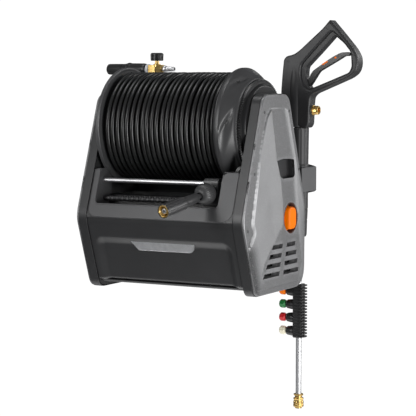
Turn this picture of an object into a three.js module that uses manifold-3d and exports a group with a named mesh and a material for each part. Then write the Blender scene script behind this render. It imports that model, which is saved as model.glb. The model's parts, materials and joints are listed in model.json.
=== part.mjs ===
// Wall-hung electric pressure washer with a hose reel on top of its motor housing.
// Millimetres, +X right, +Y towards the wall, +Z up. The row's origin is on the wall plane,
// in the middle of the width, at the level where the housing is widest from front to back.
// The housing is drawn about its own centre plane, which stands HOUSING_OFFSET in front of the wall.
import * as THREE from "three";
import { mergeVertices } from "three/addons/utils/BufferGeometryUtils.js";
import { ConvexGeometry } from "three/addons/geometries/ConvexGeometry.js";
import Module from "manifold-3d";

const wasm = await Module();
wasm.setup();

// ---- driving dimensions -------------------------------------------------
const GAP = 0.3; // clearance between pieces that touch
const HOUSING_OFFSET = 250; // wall to the housing's centre plane
const POST_INNER = 205; // inner face of each side post
const POST_OUTER = 229;
const COVER_FACE = 235; // outer face of each side cover
const PANEL_FACE = 238; // raised panel on the side cover
const WALL = 3; // moulded wall thickness
const OPENING_LEFT = -187; // edges of the front opening
const OPENING_RIGHT = 158;
const OPENING_SILL = 30;
const TAB_TOP = 115; // top of the bezel at either end of the opening
const CREASE = -2; // level where bezel and lower cover meet

const REEL_Z = 216;
const REEL_LEFT = -190;
const FLANGE_R = 148;
const DRUM_R = 108;
const HOSE_R = 137; // outside of the wound hose
const WINDING_LEFT = -184;
const WINDING_RIGHT = 132;
const AXLE_R = 10;

const MODULE = 2; // gear tooth module
const RING_TEETH = 118;
const IDLER_TEETH = 47;
const PINION_TEETH = 18;
const SCREW_TEETH = 30;
const RING_GEAR_X = [184, 194];
const IDLER_X = [185, 193];
const PINION_X = [169, 179];

const TRAVERSE_Y = -120; // plane of guide rod and lead screw
const ROD_Z = 85;
const SCREW_Z = 40;
const HOSE_EYE_Z = 63;
const CARRIAGE_X = 126;
const HOSE_D = 11;
const HOSE_X = CARRIAGE_X; // where the hose passes through the carriage

const MOTOR_Z = -85;
const KNOB_Y = 74;
const KNOB_Z = -8;
const KNOB_RECESS_R = 37;

const GUN_Y = 200; // plane of the gun and of its lance
const LANCE_X = 200;
const LOCK_PIVOT = [272, 370]; // (x, z) of the trigger lock's hinge
const FOAM_Z = 362; // axis of the foam lance
const FOAM_Y = 178;
const FOAM_BOTTLE_X = -272;
const FOAM_KNOB_X = -209;

// ---- materials ----------------------------------------------------------
const material = (color, roughness, metalness = 0) =>
  new THREE.MeshStandardMaterial({ color, roughness, metalness });
const casing = material(0x3a3a3c, 0.55);
const coverPaint = material(0x7d7e80, 0.42, 0.35);
const bezelPaint = material(0x4c4d50, 0.5);
const blackPlastic = material(0x1c1c1e, 0.5);
const hoseRubber = material(0x141415, 0.38);
const steel = material(0xc4c6c8, 0.25, 1);
const brass = material(0xc79a45, 0.3, 1);
const orange = material(0xff7a00, 0.4);
const bracketPaint = material(0x2a2a2c, 0.5, 0.3);
const castAlloy = material(0x9a9da0, 0.5, 0.8);

// ---- solid helpers ------------------------------------------------------
// A closed three.js geometry as a manifold solid.
function solid(geometry) {
  const g = geometry.clone();
  g.deleteAttribute("normal");
  g.deleteAttribute("uv");
  const merged = mergeVertices(g, 1e-4);
  return new wasm.Manifold(
    new wasm.Mesh({
      numProp: 3,
      vertProperties: merged.attributes.position.array,
      triVerts: new Uint32Array(merged.index.array),
    }),
  );
}

const join = (...solids) => solids.reduce((a, b) => a.add(b));
const cut = (body, ...tools) => tools.reduce((a, b) => a.subtract(b), body);

// A named mesh from a manifold solid.
function part(name, body, finish) {
  const m = body.getMesh();
  const g = new THREE.BufferGeometry();
  g.setAttribute("position", new THREE.BufferAttribute(m.vertProperties, 3));
  g.setIndex(new THREE.BufferAttribute(m.triVerts, 1));
  const mesh = new THREE.Mesh(g, finish);
  mesh.name = name;
  return mesh;
}

const frameMatrix = (x, y, z) => new THREE.Matrix4().makeBasis(x, y, z);
const X = new THREE.Vector3(1, 0, 0);
const Y = new THREE.Vector3(0, 1, 0);
const Z = new THREE.Vector3(0, 0, 1);

// A box between two corners.
function box(x0, x1, y0, y1, z0, z1) {
  const g = new THREE.BoxGeometry(x1 - x0, y1 - y0, z1 - z0);
  return solid(g.translate((x0 + x1) / 2, (y0 + y1) / 2, (z0 + z1) / 2));
}

// A shape from corner points [u, v, radius]; a corner with a radius is rounded.
function outline(points) {
  const shape = new THREE.Shape();
  points.forEach(([u, v, radius = 0], i) => {
    const before = points[(i + points.length - 1) % points.length];
    const after = points[(i + 1) % points.length];
    const step = (to) => {
      const d = Math.hypot(to[0] - u, to[1] - v);
      return [u + ((to[0] - u) * radius) / d, v + ((to[1] - v) * radius) / d];
    };
    const [inU, inV] = step(before);
    if (i === 0) shape.moveTo(inU, inV);
    else shape.lineTo(inU, inV);
    if (radius > 0) shape.quadraticCurveTo(u, v, ...step(after));
  });
  return shape;
}

const extruded = (shape, depth, curveSegments) =>
  new THREE.ExtrudeGeometry(shape, { depth, bevelEnabled: false, curveSegments });

// A (y, z) outline between two x values.
function alongX(points, x0, x1, curveSegments = 3) {
  const g = extruded(outline(points), x1 - x0, curveSegments);
  return solid(g.applyMatrix4(frameMatrix(Y, Z, X)).translate(x0, 0, 0));
}

// An (x, z) outline between two y values.
function alongY(points, y0, y1, curveSegments = 4) {
  const g = extruded(outline(points), y1 - y0, curveSegments);
  return solid(g.applyMatrix4(frameMatrix(X, Z, Y.clone().negate())).translate(0, y1, 0));
}

// A round bar along a unit axis, from one distance to another along it.
function bar(axis, radius, from, to, centre = [0, 0, 0], sides = 24) {
  const g = new THREE.CylinderGeometry(radius, radius, to - from, sides);
  g.translate(0, (from + to) / 2, 0);
  g.applyQuaternion(new THREE.Quaternion().setFromUnitVectors(Y, axis));
  return solid(g.translate(...centre));
}

// A turned solid: profile points [distance along the axis, radius], first to last outwards.
function turned(axis, profile, centre = [0, 0, 0], sides = 32) {
  const points = profile.map(([along, radius]) => new THREE.Vector2(radius, along));
  const closed = profile[0][1] > 0 ? [...points, points[0].clone()] : points;
  const g = new THREE.LatheGeometry(closed, sides);
  g.applyQuaternion(new THREE.Quaternion().setFromUnitVectors(Y, axis));
  const s = solid(g.translate(...centre));
  return s.volume() < 0 ? solid(flipped(g)) : s;
}

// The same surface with its faces turned round.
function flipped(geometry) {
  const g = geometry.toNonIndexed();
  const p = g.attributes.position;
  for (let i = 0; i < p.count; i += 3) {
    const [x, y, z] = [p.getX(i), p.getY(i), p.getZ(i)];
    p.setXYZ(i, p.getX(i + 1), p.getY(i + 1), p.getZ(i + 1));
    p.setXYZ(i + 1, x, y, z);
  }
  return g;
}

// A round tube or rod along a smooth path.
function pipe(points, radius, steps, sides = 8) {
  const path = new THREE.CatmullRomCurve3(points.map((p) => new THREE.Vector3(...p)));
  const section = new THREE.Shape();
  for (let i = 0; i < sides; i++) {
    const a = (2 * Math.PI * i) / sides;
    const [u, v] = [radius * Math.cos(a), radius * Math.sin(a)];
    if (i === 0) section.moveTo(u, v);
    else section.lineTo(u, v);
  }
  const g = new THREE.ExtrudeGeometry(section, { steps, extrudePath: path, bevelEnabled: false });
  const s = solid(g);
  return s.volume() < 0 ? solid(flipped(g)) : s;
}

const hull = (points) =>
  solid(new ConvexGeometry(points.map((p) => new THREE.Vector3(...p))));
const mirrored = (body) => body.mirror([1, 0, 0]);

// ---- housing ------------------------------------------------------------
// The side view of the housing; inset moves it inwards by a wall thickness.
const sideView = (inset = 0) => [
  [-72 + 0.7 * inset, 300 - inset, 26],
  [-178 + 1.06 * inset, -3, 24],
  [-114 + 0.7 * inset, -186 + inset, 22],
  [160 - inset, -186 + inset, 55],
  [162 - inset, 20, 20],
  [66 - 0.7 * inset, 300 - inset, 26],
];

// Where the sloping front face stands at a level, above and below its widest level.
const frontY = (z) => (z > -3 ? -178 + (z + 3) * (106 / 303) : -178 - (z + 3) * (64 / 183));

const pocket = (inset) => [
  [-4 - inset, 137 + inset, 6],
  [20 - inset, 92 - inset, 14],
  [99 + inset, 92 - inset, 14],
  [93 + inset, 137 + inset, 6],
];

function sidePost() {
  const shell = cut(
    alongX(sideView(), POST_INNER, POST_OUTER),
    alongX(sideView(WALL + 1), POST_INNER + WALL, POST_OUTER + 1),
  );
  return shell;
}

// Slots of the vent panel: two columns of four, each row wider than the one above.
function ventSlots() {
  const slots = [];
  for (let row = 0; row < 4; row++) {
    const low = -78 - 22.3 * row;
    const spans = [
      [-25 - 15.6 * row, 25 - 4.6 * row],
      [49 - 5.3 * row, 99 + 6.3 * row],
    ];
    for (const [from, to] of spans) slots.push(box(POST_OUTER - 5, 260, from, to, low, low + 11));
  }
  return slots;
}

// The plate's raised middle, with a scoop at its front end.
const raisedPanel = [
  [-36, 267, 14], [-60, 243, 8], [-91, 167], [-137, -8, 8], [-124, -29, 8], [-152, -62, 10],
  [-106, -172, 10], [128, -172, 30], [148, -120, 20], [150, 20, 12], [56, 267, 14],
];

function sideCover() {
  const x0 = POST_OUTER + GAP;
  return cut(
    join(
      alongX(sideView(1.5), x0, COVER_FACE),
      alongX(raisedPanel, COVER_FACE - 1, PANEL_FACE),
      alongX(pocket(WALL), POST_INNER + 8, COVER_FACE),
    ),
    alongX(pocket(0), POST_INNER + 8 + WALL, 260),
    ...ventSlots(),
  );
}

function rightCover() {
  const centre = [0, KNOB_Y, KNOB_Z];
  const cup = bar(X, KNOB_RECESS_R + WALL, 218, COVER_FACE, centre, 32);
  const recess = bar(X, KNOB_RECESS_R, 218 + WALL, 260, centre, 32);
  const shaftHole = bar(X, 7, 200, 260, centre, 16);
  return cut(join(sideCover(), cup), recess, shaftHole);
}

function leftCover() {
  const inletHole = bar(X, 19, 200, 260, [0, 40, -20], 20);
  return mirrored(cut(sideCover(), inletHole));
}

// Lower front shell with the shallow panel that carries the badge.
function frontCover() {
  const x = POST_INNER - GAP;
  const skin = [
    [frontY(CREASE) + 3, CREASE - GAP],
    [frontY(-12) + 3, -12, 4],
    [frontY(-165) + 3, -165, 6],
    [-84, -165],
    [-84, -162],
    [frontY(-162) + 8, -162, 4],
    [frontY(-12) + 7, -14, 4],
    [frontY(CREASE) + 7, CREASE - GAP],
  ];
  const shallow = [
    [frontY(-62) + 6, -60],
    [frontY(-62) - 9, -60],
    [frontY(-175) - 9, -175],
    [frontY(-175) + 6, -175],
  ];
  const recess = alongX(shallow, -188, 183, 1);
  const backing = alongX([
    [frontY(-56) + 5.5, -56],
    [frontY(-165) + 5.5, -165],
    [frontY(-165) + 10, -165],
    [frontY(-56) + 10, -56],
  ], -192, 187, 1);
  return join(cut(alongX(skin, -x, x), recess), backing);
}

function badge() {
  const face = (z) => frontY(z) + 5.1;
  const at = (x, z, out) => [x, face(z) - out, z];
  return hull([
    at(-93, -63, 0), at(88, -63, 0), at(-73, -85, 0), at(81, -85, 0),
    at(-93, -63, 3), at(88, -63, 3), at(-73, -85, 3), at(81, -85, 3),
  ]);
}

// Upper front shell: a sill under the opening and a hollow upright at either end of it.
function frontBezel() {
  const x = POST_INNER - GAP;
  const upright = [
    [frontY(CREASE) + 2, CREASE],
    [frontY(TAB_TOP) + 2, TAB_TOP, 8],
    [-84, TAB_TOP],
    [-84, CREASE],
  ];
  const insideOf = [
    [frontY(CREASE) + 6, CREASE - 1],
    [frontY(TAB_TOP - 3) + 6, TAB_TOP - 3, 8],
    [-80, TAB_TOP - 3],
    [-80, CREASE - 1],
  ];
  const sill = [
    [frontY(CREASE) + 2, CREASE],
    [frontY(OPENING_SILL) + 2, OPENING_SILL, 4],
    [-152, OPENING_SILL],
    [-152, 26],
    [frontY(26) + 6, 26],
    [frontY(CREASE) + 6, CREASE],
  ];
  const left = cut(
    alongX(upright, -x, OPENING_LEFT),
    alongX(insideOf, -x - 1, OPENING_LEFT - WALL),
  );
  const right = cut(
    alongX(upright, OPENING_RIGHT, x),
    alongX(insideOf, OPENING_RIGHT + WALL, x + 1),
  );
  const reelSweep = bar(X, FLANGE_R + 4, -250, 250, [0, 0, REEL_Z], 64);
  const screwHole = bar(X, 6.5, 150, 170, [0, TRAVERSE_Y, SCREW_Z], 12);
  const idlerRoom = bar(X, (MODULE * IDLER_TEETH) / 2 + 3, 162, 204, [0, ...idlerCentre()], 32);
  const shell = join(left, right, alongX(sill, OPENING_LEFT - 1, OPENING_RIGHT + 1));
  return cut(shell, reelSweep, screwHole, idlerRoom);
}

// The sheet under the reel that keeps water and fingers out of the motor space.
function reelTrough() {
  const R = FLANGE_R + 9;
  const rise = (radius, from, to) => {
    const points = [];
    for (let i = 0; i <= 5; i++) {
      const a = from + ((to - from) * i) / 5;
      points.push([radius * Math.sin(a), REEL_Z - radius * Math.cos(a)]);
    }
    return points;
  };
  const profile = [
    [-149, 21],
    [-94, 21],
    [-94, 45],
    [20, 45],
    ...rise(R, 0.2, 0.645),
    [140, 60],
    [140, 64],
    ...rise(R - WALL, 0.645, 0.19),
    [18, 48],
    [-97, 48],
    [-97, 24],
    [-149, 24],
  ];
  return alongX(profile, OPENING_LEFT + GAP, OPENING_RIGHT - GAP, 1);
}

function rearCover() {
  const x = POST_INNER - GAP;
  const profile = [
    [148, 60],
    [162 - 4, 20, 16],
    [160 - 4, -130, 40],
    [128, -166],
    [125, -163],
    [152, -129, 36],
    [154, 20, 14],
    [145, 57],
  ];
  const glandHole = bar(Y, 8, 140, 170, [120, 0, -110], 16);
  return cut(alongX(profile, -x, x), glandHole);
}

function bottomTray() {
  const x = POST_INNER - GAP;
  const profile = [
    [-108, -166],
    [-104, -172, 4],
    [104, -172, 8],
    [121, -167],
    [118, -164],
    [103, -169, 6],
    [-102, -169, 3],
    [-104, -166],
  ];
  return alongX(profile, -x, x);
}

function housing() {
  const group = new THREE.Group();
  const post = sidePost();
  const axleHole = bar(X, AXLE_R + 1, 200, 240, [0, 0, REEL_Z], 20);
  const rightPost = cut(post, axleHole);
  const pipeHole = bar(X, 9, 200, 240, [0, 0, MOTOR_Z + 56], 12);
  const inletHole = bar(X, 19, 200, 240, [0, 40, -20], 20);
  const leftPost = mirrored(cut(post, axleHole, pipeHole, inletHole));
  group.add(
    part("right_post", rightPost, casing),
    part("left_post", leftPost, casing),
    part("right_side_cover", rightCover(), coverPaint),
    part("left_side_cover", leftCover(), coverPaint),
    part("front_cover", frontCover(), casing),
    part("front_bezel", frontBezel(), bezelPaint),
    part("badge", badge(), steel),
    part("reel_trough", reelTrough(), blackPlastic),
    part("rear_cover", rearCover(), casing),
    part("bottom_tray", bottomTray(), casing),
  );
  return group;
}

// ---- power controls -----------------------------------------------------
function controls() {
  const group = new THREE.Group();
  const centre = [0, KNOB_Y, KNOB_Z];
  const knob = join(
    bar(X, 6, 217.9, 226, centre, 16),
    bar(X, 31, 222, 227, centre, 32),
    alongX([
      [KNOB_Y - 20.5, KNOB_Z - 27, 12], [KNOB_Y + 20.5, KNOB_Z - 27, 12],
      [KNOB_Y + 20.5, KNOB_Z + 27, 12], [KNOB_Y - 20.5, KNOB_Z + 27, 12],
    ], 226, 243),
  );
  const switchBody = box(209, 217.6, KNOB_Y - 22, KNOB_Y + 22, KNOB_Z - 22, KNOB_Z + 22);
  const gland = join(
    bar(Y, 7.5, 150, 186, [120, 0, -110], 16),
    bar(Y, 13, 158.5, 168, [120, 0, -110], 6),
    bar(Y, 10, 168, 180, [120, 0, -110], 16),
  );
  group.add(
    part("power_knob", knob, orange),
    part("switch_body", switchBody, blackPlastic),
    part("cable_gland", cut(gland, bar(Y, 4, 140, 190, [120, 0, -110], 10)), blackPlastic),
  );
  return group;
}

// ---- motor and pump, on one axis along X --------------------------------
function powerUnit() {
  const group = new THREE.Group();
  const centre = [0, 0, MOTOR_Z];
  const motor = turned(X, [[-30, 9], [-30, 50], [-20, 60], [140, 60], [148, 50], [148, 9]], centre, 18);
  const foot = cut(
    box(20, 110, -50, 50, -168.7, MOTOR_Z - 20),
    bar(X, 40, 0, 130, centre, 18),
  );
  const rotor = join(
    bar(X, 8, -36, 176, centre, 16),
    turned(X, [[158, 0], [158, 52], [162, 52], [162, 18], [176, 18], [176, 0]], centre, 18),
  );
  const pump = turned(X, [[-124, 0], [-124, 46], [-46, 46], [-38, 40], [-38, 0]], centre, 18);
  const head = join(
    box(-184, -124.3, -38, 38, MOTOR_Z - 32, MOTOR_Z + 32),
    bar(Z, 10, 30, 42, [-170, 0, MOTOR_Z], 6),
  );
  const inlet = cut(
    join(
      turned(X, [
        [-262, 0], [-262, 13], [-236, 13], [-236, 17], [-210, 17], [-210, 9], [-160, 9], [-160, 0],
      ], [0, 40, -20], 16),
      box(-178, -160, 31, 49, MOTOR_Z + 33, -11),
    ),
    bar(X, 7, -270, -225, [0, 40, -20], 12),
  );
  const [pipeX, pipeY] = [-218, -26]; // the pipe's run inside the left post
  const transfer = pipe([
    [-170, 0, MOTOR_Z + 42.5],
    [-170, 0, MOTOR_Z + 46],
    [-176, 0, MOTOR_Z + 52],
    [-196, 0, MOTOR_Z + 52],
    [-206.5, 0, MOTOR_Z + 55],
    [pipeX, -8, MOTOR_Z + 70],
    [pipeX, pipeY, 20],
    [pipeX, pipeY, 150],
    [pipeX, 0, REEL_Z - 26],
    [pipeX, 0, REEL_Z - 14],
  ], 4.5, 26);
  group.add(
    part("motor_housing", join(motor, foot), castAlloy),
    part("motor_fan", rotor, blackPlastic),
    part("pump_housing", pump, castAlloy),
    part("pump_head", head, brass),
    part("inlet_fitting", inlet, brass),
    part("transfer_pipe", transfer, blackPlastic),
  );
  return group;
}

// ---- gears --------------------------------------------------------------
// A spur gear's outline: pointed teeth, slim enough at the pitch circle for running backlash.
function gearOutline(teeth, phase) {
  const pitchR = (MODULE * teeth) / 2;
  const pitch = (2 * Math.PI) / teeth;
  const shape = new THREE.Shape();
  for (let i = 0; i < 2 * teeth; i++) {
    const radius = i % 2 === 0 ? pitchR + 0.8 * MODULE : pitchR - 1.2 * MODULE;
    const a = (i * pitch) / 2 + phase;
    const [u, v] = [radius * Math.cos(a), radius * Math.sin(a)];
    if (i === 0) shape.moveTo(u, v);
    else shape.lineTo(u, v);
  }
  return shape;
}

function gear(teeth, phase, [x0, x1], y, z) {
  const g = extruded(gearOutline(teeth, phase), x1 - x0, 1);
  return solid(g.applyMatrix4(frameMatrix(Y, Z, X)).translate(x0, y, z));
}

// The idler sits where it meets both the ring gear and the screw gear.
function idlerCentre() {
  const ringToIdler = (MODULE * (RING_TEETH + IDLER_TEETH)) / 2;
  const idlerToScrew = (MODULE * (PINION_TEETH + SCREW_TEETH)) / 2;
  const dy = TRAVERSE_Y;
  const dz = SCREW_Z - REEL_Z;
  const span = Math.hypot(dy, dz);
  const along = (span ** 2 + ringToIdler ** 2 - idlerToScrew ** 2) / (2 * span);
  const aside = Math.sqrt(Math.max(0, ringToIdler ** 2 - along ** 2));
  const [uy, uz] = [dy / span, dz / span];
  return [uy * along - uz * aside, REEL_Z + uz * along + uy * aside];
}

// The phase that puts a follower's tooth gap opposite the driver's tooth.
function meshPhase(driverTeeth, driverPhase, teeth, direction) {
  const driverPitch = (2 * Math.PI) / driverTeeth;
  const off = (((direction - driverPhase) % driverPitch) + driverPitch) % driverPitch;
  const pitch = (2 * Math.PI) / teeth;
  return direction + Math.PI + (off / driverPitch) * pitch + pitch / 2;
}

// ---- reel ---------------------------------------------------------------
function reel() {
  const group = new THREE.Group();
  const centre = [0, 0, REEL_Z];
  const drum = turned(X, [
    [REEL_LEFT + 5, AXLE_R + 2], [REEL_LEFT + 5, DRUM_R], [WINDING_RIGHT, DRUM_R],
    [WINDING_RIGHT, DRUM_R - 4], [REEL_LEFT + 9, DRUM_R - 4], [REEL_LEFT + 9, AXLE_R + 2],
  ], centre, 40);
  const flange = turned(X, [
    [REEL_LEFT - 4, AXLE_R + 2], [REEL_LEFT - 4, 30], [REEL_LEFT, 36], [REEL_LEFT, FLANGE_R - 9],
    [REEL_LEFT - 4, FLANGE_R - 6], [REEL_LEFT - 4, FLANGE_R], [REEL_LEFT + 6, FLANGE_R],
    [REEL_LEFT + 6, FLANGE_R - 4], [REEL_LEFT + 4.7, FLANGE_R - 6], [REEL_LEFT + 4.7, AXLE_R + 2],
  ], centre, 40);
  const cap = turned(X, [
    [WINDING_RIGHT + 0.5, 24], [WINDING_RIGHT + 0.5, 141], [141, FLANGE_R], [151, FLANGE_R],
    [184.2, 122], [184.2, 24], [181, 24], [181, 118], [149, 143], [143, 143], [136, 138], [136, 24],
  ], centre, 40);
  const ringGear = cut(
    gear(RING_TEETH, 0, RING_GEAR_X, 0, REEL_Z),
    bar(X, 24, 180, 200, centre, 40),
  );
  const winding = turned(X, [
    [WINDING_LEFT, DRUM_R + GAP], [WINDING_LEFT, HOSE_R - 3], [WINDING_LEFT + 3, HOSE_R],
    [WINDING_RIGHT - 3, HOSE_R], [WINDING_RIGHT, HOSE_R - 3], [WINDING_RIGHT, DRUM_R + GAP],
  ], centre, 40);
  const spring = turned(X, [[139, AXLE_R + 0.5], [139, 92], [174, 92], [174, AXLE_R + 0.5]], centre, 24);
  const axle = join(
    bar(X, AXLE_R, -204, 204, centre, 20),
    bar(X, 18, 196, 204.6, centre, 20),
  );
  const swivel = cut(
    join(
      bar(X, 9, -228, -204.4, centre, 16),
      turned(X, [[-228, 0], [-228, 12], [-209, 12], [-209, 0]], centre, 16),
    ),
    bar(X, 5, -222, -200, centre, 10),
  );
  group.add(
    part("reel_drum", drum, blackPlastic),
    part("reel_left_flange", flange, bezelPaint),
    part("reel_spring_cap", join(cap, ringGear), bezelPaint),
    part("hose_winding", winding, hoseRubber),
    part("mainspring", spring, steel),
    part("reel_axle", axle, steel),
    part("reel_swivel", swivel, brass),
  );
  return group;
}

// ---- level wind ---------------------------------------------------------
function levelWind() {
  const group = new THREE.Group();
  const [idlerY, idlerZ] = idlerCentre();
  const toIdler = Math.atan2(idlerZ - REEL_Z, idlerY);
  const toScrew = Math.atan2(SCREW_Z - idlerZ, TRAVERSE_Y - idlerY);
  const idlerPhase = meshPhase(RING_TEETH, 0, IDLER_TEETH, toIdler);
  const screwPhase = meshPhase(PINION_TEETH, 0, SCREW_TEETH, toScrew);
  const idler = join(
    gear(IDLER_TEETH, idlerPhase, IDLER_X, idlerY, idlerZ),
    gear(PINION_TEETH, 0, PINION_X, idlerY, idlerZ),
    bar(X, 8, PINION_X[1] - 1, IDLER_X[0] + 1, [0, idlerY, idlerZ], 16),
    bar(X, 4, OPENING_RIGHT + WALL + 0.5, POST_INNER - 0.5, [0, idlerY, idlerZ], 12),
  );
  const screwAxis = [0, TRAVERSE_Y, SCREW_Z];
  const screw = turned(X, [
    [OPENING_LEFT + GAP, 0], [OPENING_LEFT + GAP, 5], [-170, 5], [-170, 7.2],
    [150, 7.2], [150, 5], [PINION_X[0] - GAP, 5], [PINION_X[0] - GAP, 0],
  ], screwAxis, 16);
  const screwGear = gear(SCREW_TEETH, screwPhase, PINION_X, TRAVERSE_Y, SCREW_Z);
  const rod = bar(X, 5.7, OPENING_LEFT + GAP, OPENING_RIGHT - GAP, [0, TRAVERSE_Y, ROD_Z], 16);
  group.add(
    part("idler_gear", idler, blackPlastic),
    part("lead_screw", screw, steel),
    part("screw_gear", screwGear, blackPlastic),
    part("guide_rod", rod, steel),
    ...carriage(),
  );
  return group;
}

// The carriage and what the hose's free end carries in front of it.
function carriage() {
  const block = cut(
    join(
      box(CARRIAGE_X - 20, CARRIAGE_X + 20, -137, -103, 30, 74),
      alongX([[-137, 73], [-137, 98, 10], [-103, 98, 10], [-103, 73]], CARRIAGE_X - 20, CARRIAGE_X + 20),
    ),
    bar(X, 6.4, 90, 160, [0, TRAVERSE_Y, ROD_Z], 16),
    bar(X, 8.2, 90, 160, [0, TRAVERSE_Y, SCREW_Z], 16),
    bar(Y, 8, -140, -100, [HOSE_X, 0, HOSE_EYE_Z], 12),
  );
  const lead = pipe([
    [HOSE_X, -138.5, HOSE_EYE_Z - 1.5],
    [HOSE_X, TRAVERSE_Y, HOSE_EYE_Z],
    [HOSE_X, ...hoseTangent()],
  ], HOSE_D / 2, 8);
  // The free end runs forward and droops a little, about its own axis.
  const ballAt = new THREE.Vector3(HOSE_X, -164, HOSE_EYE_Z);
  const faceAt = new THREE.Vector3(101, -320, 31);
  const run = faceAt.clone().sub(ballAt).normalize();
  const length = faceAt.distanceTo(ballAt);
  const centre = ballAt.toArray();
  const ball = turned(run, [
    [-23, 0], [-23, 9], [-17, 20], [-8, 25.5], [6, 26], [16, 21], [24, 9], [24, 0],
  ], centre, 20);
  const gripStart = length - 78;
  const restrictor = turned(run, [
    [24.4, 0], [24.4, 5.5], [32, 5.5], [34, 9], [gripStart - 4, 11], [gripStart - 4, 6.5],
    [length - 20, 6.5], [length - 20, 0],
  ], centre, 16);
  const grip = turned(run, [
    [gripStart - 3, 7.2], [gripStart - 3, 13.5], [gripStart + 6, 16.4], [length - 2, 17], [length, 16.2],
    [length, 15.5], [length - 19, 15.5], [length - 19, 7.2],
  ], centre, 20);
  const ring = turned(run, [
    [length - 16, 8.9], [length - 16, 15.2], [length - 1, 15.2], [length - 1, 12], [length - 8, 8.9],
  ], centre, 20);
  const tip = turned(run, [
    [length - 19.7, 2.5], [length - 19.7, 6.6], [length - 18.5, 7.6], [length - 6, 7.6], [length - 4, 6],
    [length - 4, 2.5],
  ], centre, 16);
  return [
    part("carriage", block, blackPlastic),
    part("hose_lead", lead, hoseRubber),
    part("ball_stopper", ball, blackPlastic),
    part("bend_restrictor", restrictor, blackPlastic),
    part("connector_grip", grip, blackPlastic),
    part("connector_ring", ring, brass),
    part("connector_tip", tip, steel),
  ];
}

// The point (y, z) under the reel where the hose meets the winding on its way to the carriage.
function hoseTangent() {
  const radius = HOSE_R + HOSE_D / 2 + 1;
  const [dy, dz] = [-TRAVERSE_Y, REEL_Z - HOSE_EYE_Z];
  const span = Math.hypot(dy, dz);
  const slope = Math.atan2(dz, dy) - Math.asin(radius / span);
  const run = Math.sqrt(span ** 2 - radius ** 2);
  return [TRAVERSE_Y + run * Math.cos(slope), HOSE_EYE_Z + run * Math.sin(slope)];
}

// ---- wall bracket and holders -------------------------------------------
function wallMount() {
  const group = new THREE.Group();
  const plate = alongY([[-190, -130, 12], [190, -130, 12], [190, 130, 12], [-190, 130, 12]], 246, 250);
  const arm = (x) => alongX([
    [158 + GAP + 4, -104, 6], [249, -104, 4], [249, 40, 4], [158 + GAP + 4, 18, 6],
  ], x, x + 4);
  const web = box(-150, 154, 158.5, 162.3, -70, -40);
  const stub = alongY([[-262, -60, 10], [-186, -60], [-186, -20], [-262, -20, 10]], 246, 250);
  const holes = [[-165, 90], [165, 90]];
  const drilled = holes.map(([x, z]) => bar(Y, 4.5, 240, 256, [x, 0, z], 12));
  const bolts = holes.map(([x, z], i) =>
    part("wall_bolt_" + (i + 1), join(
      bar(Y, 4, 244, 250, [x, 0, z], 12),
      bar(Y, 8, 239.5, 245.7, [x, 0, z], 6),
    ), steel));
  const wing = box(188, 226, 246, 250, 44, 116);
  const sheet = join(plate, arm(-150), arm(150), web, wing, stub, bottleRing());
  group.add(part("wall_bracket", cut(sheet, ...drilled), bracketPaint), ...bolts, gunHolder());
  return group;
}

// An arm and a welded ring on the bracket's left that the foam bottle stands in.
function bottleRing() {
  const [x, r] = [FOAM_BOTTLE_X, 48.5];
  const cup = turned(Z, [[150, 42], [150, 52], [200, 52], [200, r], [153, r], [153, 42]],
    [x, FOAM_Y, 0], 24);
  const arm = alongX([
    [225, 156], [246.5, 156], [246.5, -58], [241.6, -58], [241.6, 140, 6], [225, 150],
  ], x + 10, x + 36);
  return join(cup, arm);
}

// A folded sheet channel, open towards the housing, that the lance's collar sits on.
function gunHolder() {
  const [x0, x1, y0, y1, z0, z1] = [177, 226.3, 160, 245.6, 50, 112];
  const body = join(
    box(x1 - 2.5, x1, y0, y1, z0, z1),
    box(x0, x1, y1 - 3, y1, z0, z1),
    box(x0, x1, y0 + 14, y1, z0, z0 + 3),
    box(x0, x1, y0 + 14, y1, z1 - 3, z1),
  );
  const seat = bar(Z, 23, z0 - 9, z1 + 9, [LANCE_X, GUN_Y, 0], 24);
  const mouth = box(x0 - 9, LANCE_X, GUN_Y - 22.9, GUN_Y + 22.9, z0 - 9, z1 + 9);
  return part("gun_holder", cut(body, seat, mouth), bracketPaint);
}

// ---- spray gun ----------------------------------------------------------
// The gun is drawn in its own plane, x across and z up, and split front from back.
const gunOutside = [
  [180, 212, 4], [228, 212, 4], [234, 222, 4], [236, 272, 6], [238, 290, 4], [247, 299, 4],
  [306, 323, 10], [345, 339, 8], [362, 352, 8], [368, 372, 8], [368, 396, 8], [358, 420, 10],
  [329, 452, 10], [291, 485, 6], [247, 443, 12], [207, 409, 8], [190, 398, 7], [170, 394, 3],
  [162, 386, 3], [158, 350, 10], [154, 300, 10], [157, 258, 10],
];
const gunLoop = [
  [302, 444, 4], [327, 424, 8], [345, 402, 8], [347, 366, 6], [340, 352, 6], [294, 334, 8],
  [252, 318, 5], [236, 312, 3], [228, 322, 3], [222, 344, 8], [224, 366, 6], [264, 405, 10],
];
const triggerOutside = [
  [218, 330, 2], [229, 338, 3], [232, 348, 3], [239, 357, 4], [277, 382, 8], [298, 394, 5],
  [316, 402, 5], [335, 403, 3], [344, 398, 2], [337, 393, 2], [327, 393, 2], [306, 381, 6],
  [258, 355, 5], [249, 342, 5], [239, 327, 4], [230, 315, 2], [222, 317, 2],
];

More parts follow.
